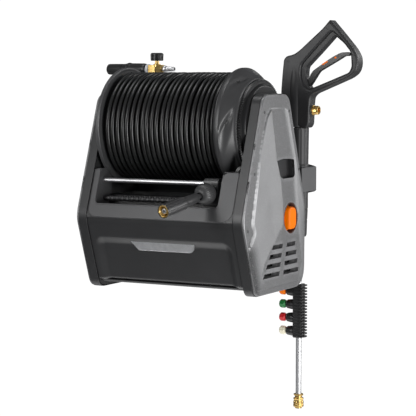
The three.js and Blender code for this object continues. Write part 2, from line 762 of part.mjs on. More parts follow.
function gun() {
  const group = new THREE.Group();
  const inletCentre = [0, GUN_Y, 257];
  const sheathRoom = bar(Z, 14.4, 200, 262, [LANCE_X, GUN_Y, 0], 16);
  const inletRoom = bar(X, 9.4, 206, 260, inletCentre, 16);
  const triggerRoom = box(207, 250, GUN_Y - 6.8, GUN_Y + 6.8, 306, 352);
  const half = (y0, y1) => {
    const body = cut(alongY(gunOutside, y0, y1, 2), alongY(gunLoop, y0 - 1, y1 + 1, 2));
    return cut(body, sheathRoom, inletRoom, triggerRoom);
  };
  const frontShell = half(GUN_Y - 19, GUN_Y - GAP / 2);
  const rearShell = half(GUN_Y + GAP / 2, GUN_Y + 19);
  const inlet = turned(X, [
    [215, 0], [215, 9], [236.5, 9], [236.5, 13], [241, 13], [241, 11.5], [254, 11.5], [254, 0],
  ], inletCentre, 16);
  const sheath = turned(Z, [
    [-66, 8.2], [-66, 18], [-60, 19.5], [-22, 20.5], [4, 22], [112.4, 22], [112.4, 24.6],
    [117, 24.6], [119, 22.6], [206, 24], [211.6, 24], [211.6, 14], [255, 14], [255, 8.2],
  ], [LANCE_X, GUN_Y, 0], 20);
  const lance = bar(Z, 7.4, -474, 250, [LANCE_X, GUN_Y, 0], 16);
  const coupler = turned(Z, [
    [-512, 4], [-512, 9.4], [-478, 9.4], [-478, 13], [-474.4, 13], [-474.4, 4],
  ], [LANCE_X, GUN_Y, 0], 20);
  const sleeve = turned(Z, [
    [-508, 10], [-508, 13.5], [-494, 13.5], [-493, 12.4], [-488, 12.4], [-487, 13.5],
    [-485, 13.5], [-485, 10],
  ], [LANCE_X, GUN_Y, 0], 20);
  group.add(
    part("gun_front_shell", frontShell, blackPlastic),
    part("gun_rear_shell", rearShell, blackPlastic),
    part("gun_inlet", inlet, brass),
    part("lance_sheath", sheath, blackPlastic),
    part("lance_pipe", lance, steel),
    part("coupler_body", coupler, brass),
    part("coupler_sleeve", sleeve, brass),
    ...triggerParts(),
    ...nozzleRack(),
  );
  return group;
}

function triggerParts() {
  const blade = alongY(triggerOutside, GUN_Y - 6.2, GUN_Y + 6.2, 2);
  const lockCorners = [[264, 371], [269, 366], [282, 374], [277, 381]];
  const lock = alongY(lockCorners, GUN_Y - 2.4, GUN_Y + 2.4);
  const slot = bar(Y, 13, GUN_Y - 2.8, GUN_Y + 2.8, [LOCK_PIVOT[0], 0, LOCK_PIVOT[1]], 20);
  return [
    part("trigger", cut(blade, slot), blackPlastic),
    part("trigger_lock", lock, orange),
  ];
}

// A clip on the lance with four sockets on one side and a comb of fins on the other.
function nozzleRack() {
  const pitch = 34.5;
  const top = -188;
  const height = 140;
  const spine = box(LANCE_X - 12, LANCE_X + 12, GUN_Y - 13, GUN_Y + 13, top - height, top);
  const finCount = 18;
  const finPitch = height / finCount;
  const fins = [];
  for (let i = 0; i < finCount; i++) {
    const z = top - finPitch * (i + 0.5);
    fins.push(box(LANCE_X + 11, LANCE_X + 21, GUN_Y - 15, GUN_Y + 15, z - 1.6, z + 1.6));
  }
  const lanceBore = bar(Z, 7.8, top - height - 1, top + 1, [LANCE_X, GUN_Y, 0], 16);
  const sockets = [];
  const cups = [];
  const nozzles = [];
  for (let i = 0; i < 4; i++) {
    const centre = [0, GUN_Y, top - 20 - pitch * i];
    sockets.push(bar(X, 11, LANCE_X - 34, LANCE_X - 10, centre, 12));
    cups.push(bar(X, 6.6, LANCE_X - 40, LANCE_X - 11, centre, 10));
    const nozzle = turned(X, [
      [LANCE_X - 54, 0], [LANCE_X - 54, 8], [LANCE_X - 51, 11], [LANCE_X - 36, 11], [LANCE_X - 34.4, 8],
      [LANCE_X - 34.4, 6], [LANCE_X - 14, 6], [LANCE_X - 14, 0],
    ], centre, 12);
    nozzles.push(part("nozzle_" + (i + 1), nozzle, nozzlePaint[i]));
  }
  const rack = cut(join(spine, ...fins, ...sockets), lanceBore, ...cups);
  return [part("nozzle_rack", rack, blackPlastic), ...nozzles];
}
const nozzlePaint = [0xf06a10, 0x1f7a3a, 0xc81e28, 0xe9e2c4].map((color) => material(color, 0.4));

// ---- foam lance ---------------------------------------------------------
function foamLance() {
  const group = new THREE.Group();
  const centre = [0, FOAM_Y, FOAM_Z];
  const head = turned(X, [
    [-361, 3], [-361, 13], [-358, 14.5], [-303, 14.5], [-303, 3],
  ], centre, 20);
  const mixer = join(
    turned(X, [[-302.7, 4], [-302.7, 15.5], [-244, 15.5], [-240, 14], [-240, 4]], centre, 20),
    bar(Z, 10, -52, -8, [FOAM_BOTTLE_X, FOAM_Y, FOAM_Z], 16),
    turned(Z, [[-66, 0], [-66, 27], [-44, 27], [-38, 20], [-38, 0]], [FOAM_BOTTLE_X, FOAM_Y, FOAM_Z], 20),
  );
  const knobAt = [FOAM_KNOB_X, FOAM_Y, FOAM_Z];
  const block = cut(
    join(
      turned(X, [[-239.7, 0], [-239.7, 13], [-231, 13], [-231, 0]], centre, 20),
      box(-231.2, -189, FOAM_Y - 12, FOAM_Y + 12, FOAM_Z - 11, FOAM_Z + 11),
      turned(X, [[-189.2, 0], [-189.2, 10], [-182, 10], [-182, 7], [-155, 6.5], [-155, 0]], centre, 16),
      turned(Z, [[10, 0], [10, 8], [18, 6], [18, 0]], knobAt, 12),
    ),
    bar(Z, 3.3, 12, 30, knobAt, 10),
    bar(X, 3, -170, -150, centre, 10),
  );
  const knob = join(
    bar(Z, 3, 12.4, 24, knobAt, 10),
    turned(Z, [[22, 0], [22, 16], [25, 17.5], [40, 17.5], [43, 15], [43, 0]], knobAt, 20),
  );
  const bottle = turned(Z, [
    [-208, 0], [-208, 42], [-202, 47], [-100, 47], [-82, 36], [-78, 22], [-66.4, 22], [-66.4, 0],
  ], [FOAM_BOTTLE_X, FOAM_Y, FOAM_Z], 28);
  group.add(
    part("foam_nozzle", cut(head, bar(X, 6, -365, -320, centre, 12)), blackPlastic),
    part("foam_mixer", mixer, blackPlastic),
    part("foam_valve_block", block, brass),
    part("foam_knob", knob, blackPlastic),
    part("foam_bottle", bottle, blackPlastic),
  );
  return group;
}

// ---- assembly -----------------------------------------------------------
const washer = new THREE.Group();
washer.add(housing(), controls(), powerUnit(), reel(), levelWind(), wallMount(), gun(), foamLance());
washer.position.y = -HOUSING_OFFSET;

export default washer;
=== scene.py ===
# Looks of a wall-hung electric pressure washer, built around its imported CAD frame.
# The row frame is in metres, +Y into the wall and +Z up; shapes are drawn in millimetres.
import json
import math

import bmesh
import bpy
from mathutils import Matrix, Vector, geometry, noise


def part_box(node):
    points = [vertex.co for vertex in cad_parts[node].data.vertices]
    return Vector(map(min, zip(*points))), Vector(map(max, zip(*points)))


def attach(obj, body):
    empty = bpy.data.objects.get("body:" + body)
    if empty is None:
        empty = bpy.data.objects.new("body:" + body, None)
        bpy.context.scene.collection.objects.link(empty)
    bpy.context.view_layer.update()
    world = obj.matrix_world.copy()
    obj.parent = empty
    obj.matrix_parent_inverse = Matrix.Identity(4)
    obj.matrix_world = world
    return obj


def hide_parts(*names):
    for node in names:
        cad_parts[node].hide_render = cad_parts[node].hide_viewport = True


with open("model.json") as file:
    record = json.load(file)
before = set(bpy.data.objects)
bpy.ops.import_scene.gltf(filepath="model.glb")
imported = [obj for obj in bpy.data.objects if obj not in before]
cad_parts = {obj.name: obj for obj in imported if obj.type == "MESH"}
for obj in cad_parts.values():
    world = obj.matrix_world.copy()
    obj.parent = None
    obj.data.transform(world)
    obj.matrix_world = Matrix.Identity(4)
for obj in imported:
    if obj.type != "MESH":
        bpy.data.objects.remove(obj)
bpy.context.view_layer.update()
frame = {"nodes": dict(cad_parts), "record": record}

MM = 0.001
X, Y, Z = Vector((1, 0, 0)), Vector((0, 1, 0)), Vector((0, 0, 1))


# ---- camera, light, floor ----------------------------------------------
AZIMUTH, ELEVATION, DISTANCE = math.radians(28.8), math.radians(4.59), 3.988
LOOK_AT = Vector((0.0432, -0.25, 0.0147))


def add_camera():
    away = Vector((
        math.sin(AZIMUTH) * math.cos(ELEVATION),
        -math.cos(AZIMUTH) * math.cos(ELEVATION),
        math.sin(ELEVATION),
    ))
    data = bpy.data.cameras.new("camera")
    data.lens, data.sensor_width = 138.2, 36
    data.clip_end = 50
    camera = bpy.data.objects.new("camera", data)
    camera.location = LOOK_AT + away * DISTANCE
    camera.rotation_euler = away.to_track_quat("Z", "Y").to_euler()
    bpy.context.collection.objects.link(camera)
    bpy.context.scene.camera = camera


SOFTBOXES = {  # place, width and height, watts
    "key": ((-1.1, -3.0, 0.9), (0.5, 1.8), 38),
    "right": ((3.0, -1.6, -0.3), (1.0, 1.6), 75),
    "side": ((2.6, 1.2, 0.0), (0.8, 1.8), 30),
    "top": ((-0.6, -0.6, 3.0), (1.2, 0.8), 22),
    "back": ((1.8, 2.6, 1.6), (1.0, 1.6), 30),
    "left": ((-3.0, 0.2, 0.6), (0.8, 1.6), 18),
}
SOFTBOX_AIM = Vector((0, -0.25, 0.1))
FLOOR_REACH, FLOOR_LEVEL = 0.9, -1.1


def add_softbox(name, place, size, watts):
    data = bpy.data.lights.new(name, "AREA")
    data.shape, data.size, data.size_y = "RECTANGLE", *size
    data.energy = watts
    light = bpy.data.objects.new(name, data)
    light.location = place
    light.rotation_euler = (light.location - SOFTBOX_AIM).to_track_quat("Z", "Y").to_euler()
    bpy.context.collection.objects.link(light)


def add_world():
    """A dim room round the object, and plain white where the camera looks past it."""
    world = bpy.data.worlds.new("studio")
    world.use_nodes = True
    tree = world.node_tree
    dim = tree.nodes["Background"]
    dim.inputs["Color"].default_value = (0.92, 0.95, 1.0, 1)
    dim.inputs["Strength"].default_value = 0.13
    white = tree.nodes.new("ShaderNodeBackground")
    white.inputs["Color"].default_value = (1, 1, 1, 1)
    white.inputs["Strength"].default_value = 1.05
    paths = tree.nodes.new("ShaderNodeLightPath")
    choose = tree.nodes.new("ShaderNodeMixShader")
    tree.links.new(paths.outputs["Is Camera Ray"], choose.inputs["Fac"])
    tree.links.new(dim.outputs["Background"], choose.inputs[1])
    tree.links.new(white.outputs["Background"], choose.inputs[2])
    tree.links.new(choose.outputs["Shader"], tree.nodes["World Output"].inputs["Surface"])
    bpy.context.scene.world = world
    bpy.context.scene.view_settings.view_transform = "Standard"


def add_floor():
    """A pale floor well below the object, which lights it softly from underneath."""
    mesh = bpy.data.meshes.new("floor")
    square = ((-1, -1), (1, -1), (1, 1), (-1, 1))
    mesh.from_pydata([(FLOOR_REACH * x, FLOOR_REACH * y, FLOOR_LEVEL) for x, y in square], [], [(0, 1, 2, 3)])
    floor = bpy.data.objects.new("floor", mesh)
    bpy.context.collection.objects.link(floor)
    pale = bpy.data.materials.new("pale_floor")
    pale.use_nodes = True
    shader = pale.node_tree.nodes["Principled BSDF"]
    shader.inputs["Base Color"].default_value = (0.9, 0.9, 0.9, 1)
    shader.inputs["Roughness"].default_value = 0.9
    shader.inputs["Emission Color"].default_value = (1, 1, 1, 1)
    shader.inputs["Emission Strength"].default_value = 0.9
    mesh.materials.append(pale)


add_camera()
add_world()
for box_name, (box_place, box_size, box_watts) in SOFTBOXES.items():
    add_softbox(box_name, box_place, box_size, box_watts)
add_floor()


# ---- materials ----------------------------------------------------------
GRAIN_DEPTH, FLOW_DEPTH = 0.00001, 0.0001


class Nodes:
    """Short names for building one material's node tree."""

    def __init__(self, name):
        self.material = bpy.data.materials.new(name)
        self.material.use_nodes = True
        self.tree = self.material.node_tree
        self.shader = self.tree.nodes["Principled BSDF"]
        self.place = self.add("ShaderNodeTexCoord").outputs["Object"]

    def add(self, kind, **settings):
        node = self.tree.nodes.new(kind)
        for key, value in settings.items():
            if key in node.inputs.keys():
                node.inputs[key].default_value = value
            else:
                setattr(node, key, value)
        return node

    def link(self, out, into):
        self.tree.links.new(out, into)

    def noise(self, scale, detail=3.0, rough=0.55, stretch=None):
        node = self.add("ShaderNodeTexNoise", Scale=scale, Detail=detail, Roughness=rough)
        source = self.place
        if stretch:
            mapping = self.add("ShaderNodeMapping")
            mapping.inputs["Scale"].default_value = stretch
            self.link(source, mapping.inputs["Vector"])
            source = mapping.outputs["Vector"]
        self.link(source, node.inputs["Vector"])
        return node.outputs["Fac"]

    def spread(self, value, low, high, from_low=0.3, from_high=0.7):
        node = self.add("ShaderNodeMapRange")
        node.inputs["From Min"].default_value = from_low
        node.inputs["From Max"].default_value = from_high
        node.inputs["To Min"].default_value = low
        node.inputs["To Max"].default_value = high
        self.link(value, node.inputs["Value"])
        return node.outputs["Result"]

    def mix(self, factor, a, b):
        node = self.add("ShaderNodeMix", data_type="RGBA")
        self.link(factor, node.inputs["Factor"])
        for socket, value in ((node.inputs[6], a), (node.inputs[7], b)):
            if isinstance(value, tuple):
                socket.default_value = (*value, 1)
            else:
                self.link(value, socket)
        return node.outputs[2]

    def bump(self, height, strength, distance, before=None):
        node = self.add("ShaderNodeBump", Strength=strength, Distance=distance)
        self.link(height, node.inputs["Height"])
        if before:
            self.link(before, node.inputs["Normal"])
        return node.outputs["Normal"]

    def worn_edges(self):
        geometry = self.add("ShaderNodeNewGeometry")
        return self.spread(geometry.outputs["Pointiness"], 0, 1, 0.52, 0.60)


def shade(colour, factor):
    return tuple(min(1.0, c * factor) for c in colour)


def moulded(name, colour, roughness, grain=900, bumps=0.3, edge=1.5, flake=0.0, sheen=0.5):
    """Moulded plastic: a fine grain, faint flow marks, rubbed edges and, with flake, metallic specks."""
    n = Nodes(name)
    base = n.mix(n.spread(n.noise(9, 4), 0, 1), shade(colour, 0.93), shade(colour, 1.07))
    if flake:
        cells = n.add("ShaderNodeTexVoronoi", Scale=1600)
        n.link(n.place, cells.inputs["Vector"])
        glint = n.spread(cells.outputs["Color"], 0, 0.5, 0.75, 1.0)
        base = n.mix(glint, base, shade(colour, 1.8))
        n.shader.inputs["Metallic"].default_value = flake
    base = n.mix(n.spread(n.worn_edges(), 0, 0.35, 0, 1), base, shade(colour, edge))
    n.link(base, n.shader.inputs["Base Color"])
    n.link(n.spread(n.noise(35, 5, 0.6), roughness - 0.02, roughness + 0.025), n.shader.inputs["Roughness"])
    n.shader.inputs["Specular IOR Level"].default_value = sheen
    fine = n.bump(n.noise(grain, 2), bumps, GRAIN_DEPTH)
    n.link(n.bump(n.noise(28, 2), 0.2, FLOW_DEPTH, fine), n.shader.inputs["Normal"])
    return n.material


def paint_with_painted_shade(name, light, dark, roughness):
    """Metallic paint from light to dark by the attribute "tone", which carries painted shade, with bright
    specks and rubbed edges.
    """
    n = Nodes(name)
    tone = n.add("ShaderNodeAttribute", attribute_name="tone")
    # The dark colour, where "tone" is high, is painted shade.
    base = n.mix(tone.outputs["Fac"], light, dark)
    base = n.mix(n.spread(n.noise(9, 4), 0, 0.08), base, (0.05, 0.05, 0.05))
    cells = n.add("ShaderNodeTexVoronoi", Scale=900)
    n.link(n.place, cells.inputs["Vector"])
    base = n.mix(n.spread(cells.outputs["Color"], 0, 0.42, 0.7, 1.0), base, (0.62, 0.62, 0.63))
    base = n.mix(n.spread(n.worn_edges(), 0, 0.5, 0, 1), base, (0.42, 0.42, 0.43))
    n.link(base, n.shader.inputs["Base Color"])
    n.shader.inputs["Metallic"].default_value = 0.5
    n.link(n.spread(n.noise(35, 5, 0.6), roughness - 0.04, roughness + 0.05), n.shader.inputs["Roughness"])
    n.link(n.bump(n.noise(1000, 2), 0.5, 2 * GRAIN_DEPTH), n.shader.inputs["Normal"])
    return n.material


def metal(name, colour, roughness, brushed=None, tarnish=None, bumps=0.3):
    """Bare metal with fine tool marks, faint smears and, where named, tarnish in patches."""
    n = Nodes(name)
    n.shader.inputs["Metallic"].default_value = 1.0
    tone = n.mix(n.spread(n.noise(60, 5, 0.65), 0, 1), shade(colour, 0.86), shade(colour, 1.06))
    if tarnish:
        tone = n.mix(n.spread(n.noise(140, 6, 0.7), 0, 0.55, 0.52, 0.78), tone, tarnish)
    n.link(tone, n.shader.inputs["Base Color"])
    n.link(n.spread(n.noise(90, 4, 0.6), roughness * 0.95, roughness * 1.07), n.shader.inputs["Roughness"])
    marks = n.noise(900, 2, 0.5, brushed) if brushed else n.noise(1200, 2)
    n.link(n.bump(marks, bumps, GRAIN_DEPTH), n.shader.inputs["Normal"])
    return n.material


def rubber(name, colour, roughness):
    """Extruded rubber: a paler film in patches over a smooth skin."""
    n = Nodes(name)
    film = n.spread(n.noise(24, 5, 0.6), 0, 1)
    n.link(n.mix(film, colour, shade(colour, 1.7)), n.shader.inputs["Base Color"])
    n.link(n.spread(n.noise(20, 3, 0.6), roughness - 0.01, roughness + 0.015), n.shader.inputs["Roughness"])
    n.link(n.bump(n.noise(900, 2), 0.1, GRAIN_DEPTH), n.shader.inputs["Normal"])
    return n.material


BRUSHED = (0.03, 1, 1)
MAT = {
    "casing_dark": moulded("casing_plastic", (0.026, 0.026, 0.027), 0.38),
    # The side cover's dark colour is painted shade, laid on through the attribute "tone".
    "cover_metallic_grey": paint_with_painted_shade("cover_paint_painted_shade", (0.33, 0.33, 0.335), (0.05, 0.05, 0.051), 0.42),
    "bezel_grey": moulded("bezel_plastic", (0.074, 0.074, 0.076), 0.40, flake=0.15),
    "black_plastic": moulded("black_plastic", (0.014, 0.014, 0.0145), 0.36),
    # Brown stands in for the shade inside the knob's recess, tinted by the orange knob: painted shade.
    "bowl_brown": moulded("bowl_painted_shade", (0.060, 0.030, 0.022), 0.5, bumps=0.24),
    "gun_plastic": moulded("gun_plastic", (0.024, 0.024, 0.025), 0.46, grain=600, bumps=0.06, edge=1.0),
    "hose_rubber": rubber("hose_cover", (0.009, 0.009, 0.009), 0.31),
    "steel": metal("polished_steel", (0.72, 0.72, 0.73), 0.40, brushed=BRUSHED, bumps=0.024),
    "screw_steel": metal("oiled_screw", (0.10, 0.10, 0.102), 0.55, bumps=0.12),
    "brass": metal("turned_brass", (0.82, 0.56, 0.20), 0.33, tarnish=(0.50, 0.32, 0.10), bumps=0.12),
    "badge_silver": metal("brushed_badge", (0.80, 0.80, 0.81), 0.42, brushed=BRUSHED, bumps=0.24),
    "orange_plastic": moulded("orange_plastic", (1.0, 0.19, 0.0), 0.42, bumps=0.12, edge=1.0, sheen=0.15),
    "green_plastic": moulded("green_plastic", (0.012, 0.20, 0.045), 0.34, bumps=0.12, edge=1.2),
    "red_plastic": moulded("red_plastic", (0.62, 0.012, 0.018), 0.34, bumps=0.12, edge=1.1),
    "cream_plastic": moulded("cream_plastic", (0.85, 0.80, 0.62), 0.36, bumps=0.12, edge=1.0),
    "white_plastic": moulded("white_plastic", (0.72, 0.73, 0.75), 0.35, bumps=0.12, edge=1.0),
    "bracket_black": moulded("powder_coat", (0.030, 0.030, 0.031), 0.5, grain=420, bumps=0.72, edge=1.6),
    "holder_coat": moulded("holder_coat", (0.085, 0.085, 0.087), 0.5, grain=420, bumps=0.6, edge=1.3),
    "cast_alloy": metal("cast_alloy", (0.42, 0.42, 0.43), 0.5, bumps=1.0),
    "cap_grey": moulded("cap_plastic", (0.046, 0.046, 0.047), 0.36, bumps=0.24),
}


def dress_nodes():
    """Every CAD node starts with the finish of its slot; pieces made below replace most of them."""
    for entry in frame["record"]["subparts"]:
        node = frame["nodes"][entry["node"]]
        node.data.materials.clear()
        node.data.materials.append(MAT[entry["material_slot"]])


dress_nodes()


# ---- mesh helpers, in millimetres about the housing's centre plane -------
HOUSING_Y = (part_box("reel_axle")[0].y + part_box("reel_axle")[1].y) / 2


def limits(node):
    """A CAD node's lowest and highest corners in design millimetres."""
    shift = Vector((0, HOUSING_Y, 0))
    return [(corner - shift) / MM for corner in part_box(node)]


def middle(node):
    low, high = limits(node)
    return (low + high) / 2


def bend(a, b, c, t):
    """A point of the curve from a to c that heads for b."""
    return a * (1 - t) ** 2 + b * 2 * t * (1 - t) + c * t ** 2


def rounded(points, steps=6):
    """Corner points (u, v, reach) as a closed outline; reach is how far a corner's rounding goes."""
    outline = []
    for i, (u, v, *rest) in enumerate(points):
        here = Vector((u, v))
        to_last = Vector(points[i - 1][:2]) - here
        to_next = Vector(points[(i + 1) % len(points)][:2]) - here
        reach = min(rest[0] if rest else 0, 0.48 * to_last.length, 0.48 * to_next.length)
        if reach <= 0:
            outline.append(here)
            continue
        start = here + to_last.normalized() * reach
        end = here + to_next.normalized() * reach
        outline += [bend(start, here, end, k / steps) for k in range(steps + 1)]
    return outline


def around(sides):
    """The angles of a full turn in equal steps."""
    return [2 * math.pi * k / sides for k in range(sides)]


def circle(u, v, radius, sides=40):
    return [Vector((u + radius * math.cos(a), v + radius * math.sin(a))) for a in around(sides)]


def sided(meshes, right):
    """Meshes made for the right side, mirrored in place where they are for the left."""
    for mesh in () if right else meshes:
        mesh.transform(Matrix.Diagonal((-1, 1, 1, 1)))
        mesh.flip_normals()
    return meshes


PLANES = {"x": (Y, Z, X), "y": (X, Z, -Y), "z": (X, Y, Z)}


def slab(loops, plane, start, end, edge=1.0, steps=2, frame_at=None):
    """A plate with rounded edges between two depths. loops are the outline and its holes in u and v.
    plane names its axis, unless frame_at gives its (origin, u, v, depth) vectors."""
    curve = bpy.data.curves.new("slab", "CURVE")
    curve.dimensions, curve.fill_mode = "2D", "BOTH"
    curve.extrude = (end - start) / 2 - edge
    curve.bevel_depth, curve.bevel_resolution, curve.offset = edge, steps, -edge
    for loop in loops:
        spline = curve.splines.new("POLY")
        spline.points.add(len(loop) - 1)
        for point, (u, v) in zip(spline.points, loop):
            point.co = (u, v, 0, 1)
        spline.use_cyclic_u = True
    holder = bpy.data.objects.new("slab", curve)
    mesh = bpy.data.meshes.new_from_object(holder)
    bpy.data.objects.remove(holder)
    low = [min(p[i] for p in loops[0]) for i in (0, 1)]
    high = [max(p[i] for p in loops[0]) for i in (0, 1)]
    for vertex in mesh.vertices:
        vertex.co.xy = [min(max(vertex.co[i], low[i]), high[i]) for i in (0, 1)]
    origin, u, v, w = frame_at or (Vector((0, 0, 0)), *PLANES[plane])
    if plane == "y":
        start, end = -end, -start
    matrix = Matrix((u, v, w)).transposed().to_4x4()
    matrix.translation = origin
    mesh.transform(matrix @ Matrix.Translation((0, 0, (start + end) / 2)))
    return mesh


def sweep_ring(rings, closed=False, caps=True):
    """Quads between rings of points; a closed sweep joins its last ring to its first."""
    bm = bmesh.new()
    rows = [[bm.verts.new(p) for p in ring] for ring in rings]
    count = len(rows[0])
    pairs = list(zip(rows, rows[1:])) + ([(rows[-1], rows[0])] if closed else [])
    for a, b in pairs:
        for i in range(count):
            j = (i + 1) % count
            bm.faces.new((a[i], a[j], b[j], b[i]))
    if caps and not closed:
        bm.faces.new(rows[0][::-1])
        bm.faces.new(rows[-1])
    mesh = bpy.data.meshes.new("sweep")
    bmesh.ops.remove_doubles(bm, verts=bm.verts, dist=1e-5)
    bmesh.ops.recalc_face_normals(bm, faces=bm.faces)
    bm.to_mesh(mesh)
    bm.free()
    return mesh


def across(axis):
    """Two unit vectors square to an axis."""
    helper = Z if abs(axis.dot(Z)) < 0.9 else X
    side = axis.cross(helper).normalized()
    return side, axis.cross(side).normalized()


def turned(profile, axis, centre, sides=64, ripple=None):
    """A turned piece. profile: (along, radius) pairs; ripple(angle, along, radius) may change the radius."""
    axis = Vector(axis).normalized()
    side, up = across(axis)
    centre = Vector(centre)
    rings = []
    for along, radius in profile:
        ring = []
        for a in around(sides):
            r = ripple(a, along, radius) if ripple else radius
            ring.append(centre + axis * along + (side * math.cos(a) + up * math.sin(a)) * r)
        rings.append(ring)
    hollow = profile[0][1] > 0 and profile[-1][1] > 0 and profile[0] == profile[-1]
    return sweep_ring(rings[:-1] if hollow else rings, closed=hollow)


def soft_profile(points, steps=3):
    """A turned profile whose corners carry a radius: (along, radius, corner)."""
    outline = []
    for i, (a, r, *rest) in enumerate(points):
        corner = rest[0] if rest else 0
        if corner <= 0 or i in (0, len(points) - 1):
            outline.append((a, r))
            continue
        here = Vector((a, r))
        start = here + (Vector(points[i - 1][:2]) - here).normalized() * corner
        end = here + (Vector(points[i + 1][:2]) - here).normalized() * corner
        outline += [tuple(bend(start, here, end, k / steps)) for k in range(steps + 1)]
    return outline


def ring_profile(points, steps=3):
    """A hollow turned profile, closed on itself, with the same corner radii."""
    loop = soft_profile([points[-1], *points, points[0]], steps)[1:-1]
    return [*loop, loop[0]]


def flats(count, share, above, before=math.inf, turn=0.0):
    """A ripple that gives a turned piece flats where it is thicker than above and before a length."""
    step = 2 * math.pi / count

    def ripple(angle, along, radius):
        if radius <= above or along >= before:
            return radius
        return radius / math.cos((angle + turn) % step - step / 2) * share

    return ripple


def grooves(count, depth, narrow, above, before=math.inf):
    """A ripple that cuts square grooves in a turned piece where it is thicker than above, before a length."""
    def ripple(angle, along, radius):
        if radius <= above or along >= before or math.cos(angle * count) <= narrow:
            return radius
        return radius - depth

    return ripple


def tube(path, radius, sides=12, caps=True):
    """A round tube along points, its rings kept from twisting."""
    points = [Vector(p) for p in path]
    rings = []
    side = None
    for i, p in enumerate(points):
        run = (points[min(i + 1, len(points) - 1)] - points[max(i - 1, 0)]).normalized()
        side = across(run)[0] if side is None else (side - run * side.dot(run)).normalized()
        up = run.cross(side)
        rings.append([p + (side * math.cos(a) + up * math.sin(a)) * radius for a in around(sides)])
    return sweep_ring(rings, caps=caps)


def block(x0, x1, y0, y1, z0, z1, edge=0.8):
    corners = [(x0, y0, edge), (x1, y0, edge), (x1, y1, edge), (x0, y1, edge)]
    return slab([rounded(corners, 2)], "z", z0, z1, edge)


def inside(p, loop):
    hit = False
    for a, b in zip(loop, loop[1:] + loop[:1]):
        if (a.y > p.y) != (b.y > p.y) and p.x < (b.x - a.x) * (p.y - a.y) / (b.y - a.y) + a.x:
            hit = not hit
    return hit


def evened(loop, step):
    """The same outline with points no further apart than a step."""
    out = []
    for a, b in zip(loop, loop[1:] + loop[:1]):
        parts = max(1, round((b - a).length / step))
        out += [a + (b - a) * k / parts for k in range(parts)]
    return out


def inset(loop, distance):
    """An outline moved inwards by a distance, corner by corner."""
    area = sum(a.x * b.y - b.x * a.y for a, b in zip(loop, loop[1:] + loop[:1]))
    turn = 1 if area > 0 else -1
    out = []
    for before, here, after in zip(loop[-1:] + loop[:-1], loop, loop[1:] + loop[:1]):
        a, b = (here - before).normalized(), (after - here).normalized()
        n = (Vector((-a.y, a.x)) + Vector((-b.y, b.x))).normalized() * turn
        stretch = max(0.5, n.dot(Vector((-a.y, a.x)) * turn))
        out.append(here + n * distance / stretch)
    return out


def relief(outline, edge_out, holes, creases, height, base, frame_at, spacing=5.0, step=4.0, tone=None,
           bare=lambda p: False):
    """A moulded skin: a sheet inside an outline, height(u, v) out of its plane, with sides down to base.
    creases are (loop, height) pairs that the mesh follows, so that a change of slope there is crisp.
    tone(u, v) is kept as the attribute "tone". bare(p) is true where only the loops' own points are used."""
    loops = [(evened(outline, step), edge_out), *((evened(hole, step), height) for hole in holes), *creases]
    points, heights, edges = [], [], []
    for run, level in loops:
        start = len(points)
        points += run
        heights += [level(p.x, p.y) for p in run]
        edges += [(start + i, start + (i + 1) % len(run)) for i in range(len(run))]
    rim = evened(outline, step)
    gaps = [evened(h, step) for h in holes]
    low = Vector((min(p.x for p in rim), min(p.y for p in rim)))
    high = Vector((max(p.x for p in rim), max(p.y for p in rim)))
    taken = {(round(p.x / spacing), round(p.y / spacing)) for p in points}
    for i in range(round(low.x / spacing), round(high.x / spacing) + 1):
        for j in range(round(low.y / spacing), round(high.y / spacing) + 1):
            spot = Vector((i * spacing, j * spacing))
            if (i, j) not in taken and inside(spot, rim) and not bare(spot):
                points.append(spot)
                heights.append(height(spot.x, spot.y))
    verts, _, faces, sources, *_ = geometry.delaunay_2d_cdt(points, edges, [], 0, 1e-4)
    origin, u, v, w = frame_at
    bm = bmesh.new()
    shade_layer = bm.verts.layers.float.new("tone")
    made = []
    for p, source in zip(verts, sources):
        out = heights[source[0]] if source else height(p.x, p.y)
        vert = bm.verts.new(origin + u * p.x + v * p.y + w * out)
        vert[shade_layer] = tone(p.x, p.y) if tone else 0.0
        made.append(vert)
    for face in faces:
        middle = sum((verts[i] for i in face), Vector((0, 0))) / len(face)
        if inside(middle, rim) and not any(inside(middle, gap) for gap in gaps):
            bm.faces.new([made[i] for i in face])
    bmesh.ops.delete(bm, geom=[x for x in bm.verts if not x.link_faces], context="VERTS")
    border = [e for e in bm.edges if e.is_boundary]
    skirt = bmesh.ops.extrude_edge_only(bm, edges=border)["geom"]
    for vert in skirt:
        if isinstance(vert, bmesh.types.BMVert):
            vert.co += w * (base - (vert.co - origin).dot(w))
    bmesh.ops.recalc_face_normals(bm, faces=bm.faces)
    mesh = bpy.data.meshes.new("relief")
    bm.to_mesh(mesh)
    bm.free()
    return mesh


def smooth(x, low, high):
    t = min(1.0, max(0.0, (x - low) / (high - low)))
    return t * t * (3 - 2 * t)


def along_line(z, stops):
    """The value at z on a line of (z, value) stops, highest z first."""
    for (z1, a), (z0, b) in zip(stops, stops[1:]):
        if z >= z0:
            t = min(1.0, (z1 - z) / (z1 - z0))
            return a + (b - a) * max(0.0, t)
    return stops[-1][1]


def piece(name, meshes, body, slot, replaces=(), material=None, sharp=32):
    """One Blender piece from meshes in design millimetres, riding on a body."""
    bm = bmesh.new()
    for mesh in meshes if isinstance(meshes, (list, tuple)) else [meshes]:
        bm.from_mesh(mesh)
        bpy.data.meshes.remove(mesh)
    bmesh.ops.remove_doubles(bm, verts=bm.verts, dist=1e-4)
    bmesh.ops.recalc_face_normals(bm, faces=bm.faces)
    mesh = bpy.data.meshes.new(name)
    bm.to_mesh(mesh)
    bm.free()
    mesh.transform(Matrix.Translation((0, HOUSING_Y, 0)) @ Matrix.Scale(MM, 4))
    mesh.polygons.foreach_set("use_smooth", [True] * len(mesh.polygons))
    mesh.set_sharp_from_angle(angle=math.radians(sharp))
    mesh.materials.append(MAT[material or slot])
    obj = bpy.data.objects.new(name, mesh)
    bpy.context.collection.objects.link(obj)
    weighted = obj.modifiers.new("even_normals", "WEIGHTED_NORMAL")
    weighted.keep_sharp = True
    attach(obj, body)
    if replaces:
        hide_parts(*replaces)
    return obj


